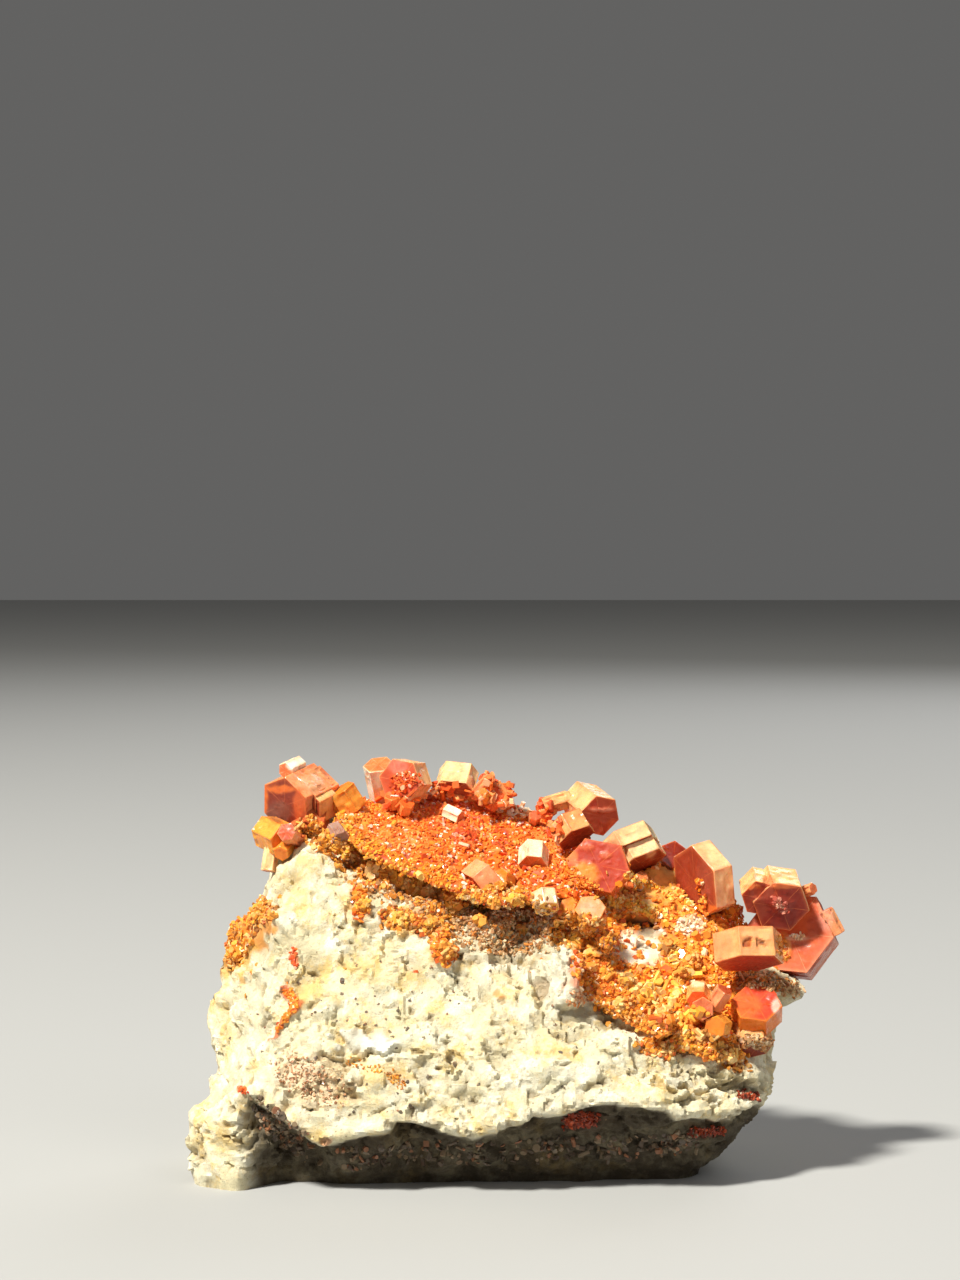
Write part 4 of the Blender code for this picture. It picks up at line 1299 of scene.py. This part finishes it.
SHADED_MIX = [(3, (0.3, 0.04, 0.012)), (2, (0.46, 0.075, 0.02)), (1, (0.14, 0.03, 0.012))]
ORANGE_MIX = [
    (4, (0.86, 0.25, 0.02)), (3, (0.92, 0.38, 0.05)), (1.5, (0.66, 0.12, 0.015)), (0.4, (0.95, 0.7, 0.4)),
]
PINK_MIX = [(3, (0.78, 0.3, 0.2)), (2, (0.5, 0.1, 0.06)), (1, (0.86, 0.5, 0.34))]
PALE_MIX = [(3, (0.9, 0.72, 0.48)), (2, (0.92, 0.56, 0.3)), (1, (0.95, 0.88, 0.74))]
CLAY_MIX = [
    (3, (0.78, 0.46, 0.26)), (2, (0.62, 0.28, 0.12)), (2, (0.88, 0.66, 0.42)), (1, (0.84, 0.3, 0.08)),
]


class Cover(NamedTuple):
    """The grains over a slab: how many, their smallest and largest radius, and their colours."""

    count: int
    small: float
    large: float
    palette: list


PLATE_COVER = Cover(8600, 0.09, 0.25, SHELF_MIX)
CRUST_COVER = Cover(7000, 0.11, 0.32, CRUST_MIX)
HUNG = 34  # how far below the rim the grains still hang on, in pixels
LARGE_ONES, LARGER = 0.05, 0.8  # the share of grains that are larger, and by how much


def cover_bed(bed, cover, seed):
    """The grains that grow over a slab, thicker or thinner as its marks say."""
    grains = Grains(seed)
    rng = grains.rng
    spots, ways = sprinkle(bed, cover.count, np.random.default_rng(seed))
    tint, _, kept = slab_looks(spots, ways)
    px, py, _ = front_arrays(spots, ways)
    for place, way, color, keep, away in zip(spots, ways, tint, kept, way_to_line(PLATE_RIM, px, py)):
        rim = smooth(13, 4, away)
        if way[2] < -0.4 and away > HUNG or rng.random() > keep:
            continue
        palette = OCHRE_MIX if way[2] < -0.2 and away < HUNG else cover.palette
        picked = pick(rng, RIM_MIX if rng.random() < rim else palette)
        picked = mix(picked, color[:3], color[3] * 0.75 * (1 - rim))
        radius = rng.uniform(cover.small, cover.large) * (1 + LARGER * (rng.random() < LARGE_ONES))
        grains.add_loose(Vector(place), Vector(way), radius, picked, grains.gloss_of(0.3))
    return grains


def make_slab(name, slot, cover, seed, lumps, base, deep):
    """A slab and its grains, as one piece in the CAD node's place."""
    bed = make_bed(name, lumps, base, deep)
    slab = join(bed, cover_bed(bed, cover, seed).piece(name + "_grains", druse))
    finish_piece(slab, slot, name)
    return slab


DOT_GRAINS = 4
# the dark dots' colours, also used as painted shade along the underside
DOT_AND_SHADE_MIX = [(3, (0.13, 0.1, 0.07)), (2, (0.24, 0.18, 0.11)), (1, (0.34, 0.16, 0.08))]
PITTED_MIX = [(3, (0.6, 0.34, 0.18)), (1, (0.3, 0.14, 0.06)), (4, (0.84, 0.68, 0.44)), (1, (0.7, 0.34, 0.2))]


class Field(NamedTuple):
    """Grains grown over part of the front: the line along the middle of the part in pixels, its half width in
    pixels, how many grains, their smallest and largest radius in millimetres, and their colours."""

    line: list
    wide: float
    count: int
    small: float
    large: float
    palette: list


SHELF_SHADE = [(306, 826), (322, 840), (345, 858), (372, 872), (400, 886), (428, 898), (446, 906)]
FIELDS = [
    # under the shelf
    (SHELF_SHADE, 13, 620, 0.14, 0.38, OCHRE_MIX),
    ([(350, 866), (392, 892), (440, 910), (490, 918), (540, 912)], 16, 520, 0.12, 0.32, BROWN_MIX),
    ([(460, 920), (500, 930), (545, 930)], 26, 760, 0.1, 0.28, BROWN_MIX),
    ([(360, 886), (361, 914)], 8, 130, 0.14, 0.34, ORANGE_MIX),
    ([(388, 918), (415, 922), (442, 926)], 12, 330, 0.14, 0.36, OCHRE_MIX),
    ([(440, 938), (447, 956)], 11, 190, 0.14, 0.36, ORANGE_MIX),
    ([(440, 905), (470, 898), (505, 890), (530, 900)], 9, 320, 0.13, 0.34, OCHRE_MIX),
    # between the shelf and the crust
    ([(556, 925), (590, 935), (604, 950)], 19, 520, 0.12, 0.34, OCHRE_MIX),
    ([(586, 960), (602, 985), (608, 1000)], 18, 560, 0.12, 0.34, ORANGE_MIX),
    ([(572, 1000), (590, 992)], 8, 80, 0.12, 0.26, CLAY_MIX),
    ([(612, 1000), (640, 1012), (668, 1024)], 15, 420, 0.12, 0.34, OCHRE_MIX),
    # under the crust
    ([(642, 1046), (668, 1050), (684, 1040)], 9, 230, 0.14, 0.34, OCHRE_MIX),
    ([(700, 1040), (724, 1052), (742, 1064)], 11, 260, 0.14, 0.36, OCHRE_MIX),
    ([(742, 1040), (770, 1044)], 7, 110, 0.12, 0.3, BROWN_MIX),
    ([(742, 978), (770, 982), (798, 990)], 9, 260, 0.12, 0.32, BROWN_MIX),
    # the pitted patch
    ([(286, 1066), (306, 1078), (336, 1092)], 20, 330, 0.06, 0.17, PITTED_MIX),
    ([(350, 1062), (390, 1074), (404, 1084)], 7, 80, 0.06, 0.15, OCHRE_MIX),
    # left lumps and the red vein
    ([(268, 908), (250, 918), (240, 938), (233, 958)], 13, 420, 0.14, 0.36, OCHRE_MIX),
    ([(294, 950), (294, 966)], 3, 26, 0.12, 0.24, RED_MIX),
    ([(287, 990), (293, 999), (294, 1008)], 4.5, 110, 0.09, 0.24, ORANGE_MIX),
    ([(290, 1012), (284, 1020), (278, 1030)], 3.2, 60, 0.09, 0.22, ORANGE_MIX),
    ([(240, 1089), (247, 1091)], 3, 22, 0.1, 0.22, RED_MIX),
    # the pocket, the underside and the druse in the shade
    ([(740, 1094), (758, 1097)], 4, 70, 0.1, 0.24, SHADED_MIX),
    ([(690, 1133), (722, 1131)], 5, 90, 0.12, 0.26, SHADED_MIX),
    ([(566, 1122), (594, 1118)], 8, 200, 0.1, 0.26, SHADED_MIX),
    # dark grains beside the foot and along the underside, their darkness partly painted shade of the undercut
    ([(258, 1108), (280, 1130), (305, 1146)], 13, 170, 0.14, 0.4, DOT_AND_SHADE_MIX),
    ([(330, 1160), (430, 1152), (540, 1150), (650, 1146), (700, 1140)], 13, 260, 0.14, 0.42, DOT_AND_SHADE_MIX),
    # broken crystals over the shelf
    ([(384, 802), (420, 790), (450, 790), (480, 800), (510, 806)], 9, 70, 0.26, 0.6, BROKEN_MIX),
    ([(486, 780), (520, 790), (548, 812), (556, 832)], 9, 90, 0.24, 0.62, BROKEN_MIX),
    ([(462, 828), (468, 846)], 7, 46, 0.22, 0.5, RED_MIX),
    ([(500, 806), (528, 812)], 7, 22, 0.24, 0.5, PALE_MIX),
    ([(624, 884), (640, 1000)], 26, 60, 0.2, 0.45, ORANGE_MIX),
    ([(660, 990), (700, 1030)], 18, 60, 0.25, 0.6, CITRINE_MIX),
    ([(678, 960), (692, 974)], 8, 26, 0.36, 0.7, CITRINE_MIX),
    ([(622, 976), (640, 990), (660, 996)], 9, 46, 0.28, 0.6, CITRINE_MIX),
    ([(654, 1012), (668, 1022)], 8, 16, 0.4, 0.75, ORANGE_MIX),
    ([(700, 880), (706, 920)], 4, 40, 0.14, 0.34, ORANGE_MIX),
    ([(612, 900), (636, 906), (655, 913)], 6, 170, 0.12, 0.3, CITRINE_MIX),
    ([(628, 874), (650, 886), (690, 904)], 4, 120, 0.12, 0.28, CITRINE_MIX),
    # on the crystals
    ([(396, 782), (414, 778)], 8, 110, 0.1, 0.24, RED_MIX),
    ([(566, 868), (580, 884), (600, 892)], 8, 150, 0.1, 0.24, ORANGE_MIX),
    ([(780, 940), (784, 958)], 6, 50, 0.1, 0.22, ORANGE_MIX),
    ([(790, 937), (804, 936)], 3, 26, 0.1, 0.22, PALE_MIX),
    ([(774, 900), (784, 908)], 6, 26, 0.16, 0.34, PINK_MIX),
    ([(680, 928), (700, 922)], 8, 90, 0.14, 0.34, PALE_MIX),
]


def grow_fields(grains, surface):
    rng = grains.rng
    for field in (Field(*row) for row in FIELDS):
        for _ in range(field.count):
            share = rng.random() * (len(field.line) - 1)
            index = min(int(share), len(field.line) - 2)
            middle = mix(field.line[index], field.line[index + 1], share - index)
            place, outward = surface.seen_at(*grains.pixel_near(*middle, field.wide))
            if place is None:
                continue
            radius = rng.uniform(field.small, field.large)
            gloss = grains.gloss_of(0)
            grains.add_loose(place, outward, radius, pick(rng, field.palette), gloss)


# Lumps of grown-together grains, as (pixel x, pixel y, radius in millimetres).
KNOBS = [
    # in the shade of the shelf
    (326, 842, 0.9), (338, 849, 1.1), (349, 854, 1.2), (358, 860, 0.9), (366, 864, 1.1), (374, 871, 1.6),
    (386, 875, 1.0), (396, 881, 1.1), (406, 885, 1.2), (417, 890, 1.3), (429, 893, 1.0), (440, 898, 1.2),
    (452, 902, 1.4), (463, 903, 0.8), (452, 914, 0.9), (478, 906, 0.8), (494, 902, 0.7), (514, 900, 0.8),
    # lower on the slope and between the shelf and the crust
    (364, 905, 0.7), (400, 920, 0.9), (430, 925, 0.9), (445, 950, 0.9), (480, 922, 0.7), (520, 932, 0.7),
    (560, 925, 0.8), (575, 940, 0.9), (592, 955, 0.9), (590, 970, 0.8), (606, 976, 0.9), (618, 1006, 0.8),
    # over the crust
    (668, 950, 1.1), (692, 962, 1.0), (679, 974, 0.9), (626, 983, 1.0), (645, 997, 0.9), (664, 1014, 1.2),
    (650, 1022, 0.9), (700, 1036, 0.9), (716, 1047, 0.8), (731, 1057, 0.8), (669, 1049, 0.7),
    (712, 1000, 0.8),
    # down the left edge
    (262, 912, 1.1), (250, 931, 1.3), (240, 952, 1.3), (235, 964, 0.9),
]
KNOB_GRAINS = 46  # on a lump, for each millimetre of its radius
KNOB_SIZES = (0.18, 0.42)  # their smallest and largest radius
KNOB_DULL = 0.2  # the gloss of those that don't glint
CORE_WIDE, CORE_LONG = 0.8, 1.5  # of the one they grow on, as a share of the lump's radius
KNOB_MIX = [
    (4, (0.84, 0.44, 0.06)), (3, (0.86, 0.33, 0.04)), (2, (0.92, 0.62, 0.24)), (1, (0.52, 0.26, 0.07)),
]


def grow_knobs(grains, surface):
    rng = grains.rng
    for x, y, radius in KNOBS:
        place, outward = surface.seen_at(x, y)
        if place is None:
            continue
        core = pick(rng, KNOB_MIX)
        grains.add(place, outward, radius * CORE_WIDE, radius * CORE_LONG, core, KNOB_DULL)
        for _ in range(round(KNOB_GRAINS * radius)):
            way = Vector([rng.gauss(0, 1) for _ in range(3)]).normalized()
            if way.dot(outward) < -0.1:
                continue
            color = mix(core, pick(rng, KNOB_MIX), 0.6)
            spot = place + way * radius * rng.uniform(0.7, 1.0)
            grains.add_loose(spot, way, rng.uniform(*KNOB_SIZES), color, grains.gloss_of(KNOB_DULL, 0.8))


PIXEL = 0.117  # of the picture, in millimetres at the specimen


def grow_dots(grains, surface):
    """The dark dots of the rock: blunt grains that barely stand out."""
    rng = grains.rng
    for x, y, radius in DOTS:
        for _ in range(DOT_GRAINS):
            place, outward = surface.seen_at(*grains.pixel_near(x, y, radius * 0.6))
            if place is None:
                continue
            size = radius * PIXEL * rng.uniform(0.3, 0.6)
            grains.add(place, grains.loose_axis(outward, 0.3), size, size * 0.7, pick(rng, DOT_AND_SHADE_MIX), 0)


BEHIND = 9000  # grains tried over the whole rock, of which those in clumps at the back stay
BEHIND_ABOVE = 16
BEHIND_SIZES = (0.13, 0.36)
CLUMP_SEED = Vector((5, 0, 9))


def scatter_behind(grains, rock):
    """Loose clumps of grains over the top edge of the back and the right end."""
    rng = grains.rng
    for place, way in zip(*sprinkle(rock, BEHIND, np.random.default_rng(6))):
        spot = Vector(place)
        clump = noise.noise(spot * 0.22 + CLUMP_SEED)
        if way[1] < 0.1 or place[2] < BEHIND_ABOVE or clump < 0.22 - 0.012 * (place[2] - 20):
            continue
        radius = rng.uniform(*BEHIND_SIZES)
        color = pick(rng, OCHRE_MIX if clump < 0.3 else ORANGE_MIX)
        grains.add_loose(spot, Vector(way), radius, color, 0.3)


# Studio

FLOOR_COLOR = (0.4, 0.4, 0.39)
FLOOR_HALF = 4  # metres
AROUND = (0.95, 0.94, 0.92, 1)  # the light from all around, and how strong it is
AROUND_STRENGTH = 0.13


def make_floor():
    bm = bmesh.new()
    bmesh.ops.create_grid(bm, x_segments=1, y_segments=1, size=FLOOR_HALF)
    mesh = bpy.data.meshes.new("floor")
    bm.to_mesh(mesh)
    bm.free()
    floor = new_object("floor", mesh)
    look = Shading("floor", 0.9)
    look.put(look.shader, Base_Color=FLOOR_COLOR)
    mesh.materials.append(look.material)


def add_light(name, place, target, size, watts, color):
    light = bpy.data.lights.new(name, "AREA")
    light.energy = watts
    light.size = size * MM
    light.color = color
    thing = bpy.data.objects.new(name, light)
    bpy.context.scene.collection.objects.link(thing)
    thing.location = Vector(place) * MM
    thing.rotation_euler = (Vector(target) - Vector(place)).to_track_quat("-Z", "Y").to_euler()


def make_studio():
    make_floor()
    add_light("key", (-600, -640, 1150), (0, 0, 22), 180, 40, (1.0, 0.975, 0.9))
    add_light("fill", (800, -900, 1000), (0, 0, 20), 700, 3.0, (0.97, 0.98, 1.0))
    add_light("back", (500, 1000, 700), (0, 0, 20), 700, 5.0, (0.97, 0.98, 1.0))
    world = bpy.data.worlds.new("studio")
    world.use_nodes = True
    for name, value in (("Color", AROUND), ("Strength", AROUND_STRENGTH)):
        world.node_tree.nodes["Background"].inputs[name].default_value = value
    bpy.context.scene.world = world
    bpy.context.scene.view_settings.view_transform = "Standard"


make_camera()
crystal_looks = {slot: crystal_material(slot) for slot in ("red_crystal", *CRYSTAL_SLOTS)}
druse = crystal_material("druse", 0.16, 0.1, 0.05, 1.5)
rock = make_rock()
crystals = [make_crystals(name) for name in CRYSTALS]
slabs = [
    make_slab("druse_plate", "red_druse", PLATE_COVER, 11, 0.22, (0.88, 0.2, 0.02), (0.55, 0.07, 0.015)),
    make_slab("yellow_crust", "yellow_crust", CRUST_COVER, 12, 0.25, (0.88, 0.31, 0.035), (0.64, 0.17, 0.02)),
]
grains = Grains(13)
grow_fields(grains, Surface([rock, *slabs, *crystals]))
grow_dots(grains, Surface([rock]))
scatter_behind(grains, rock)
knobs = Grains(29)
grow_knobs(knobs, Surface([rock, *slabs]))
for name, crowd in (("small_grains", grains), ("grain_knobs", knobs)):
    finish_piece(crowd.piece(name, druse), "yellow_crust")
make_studio()
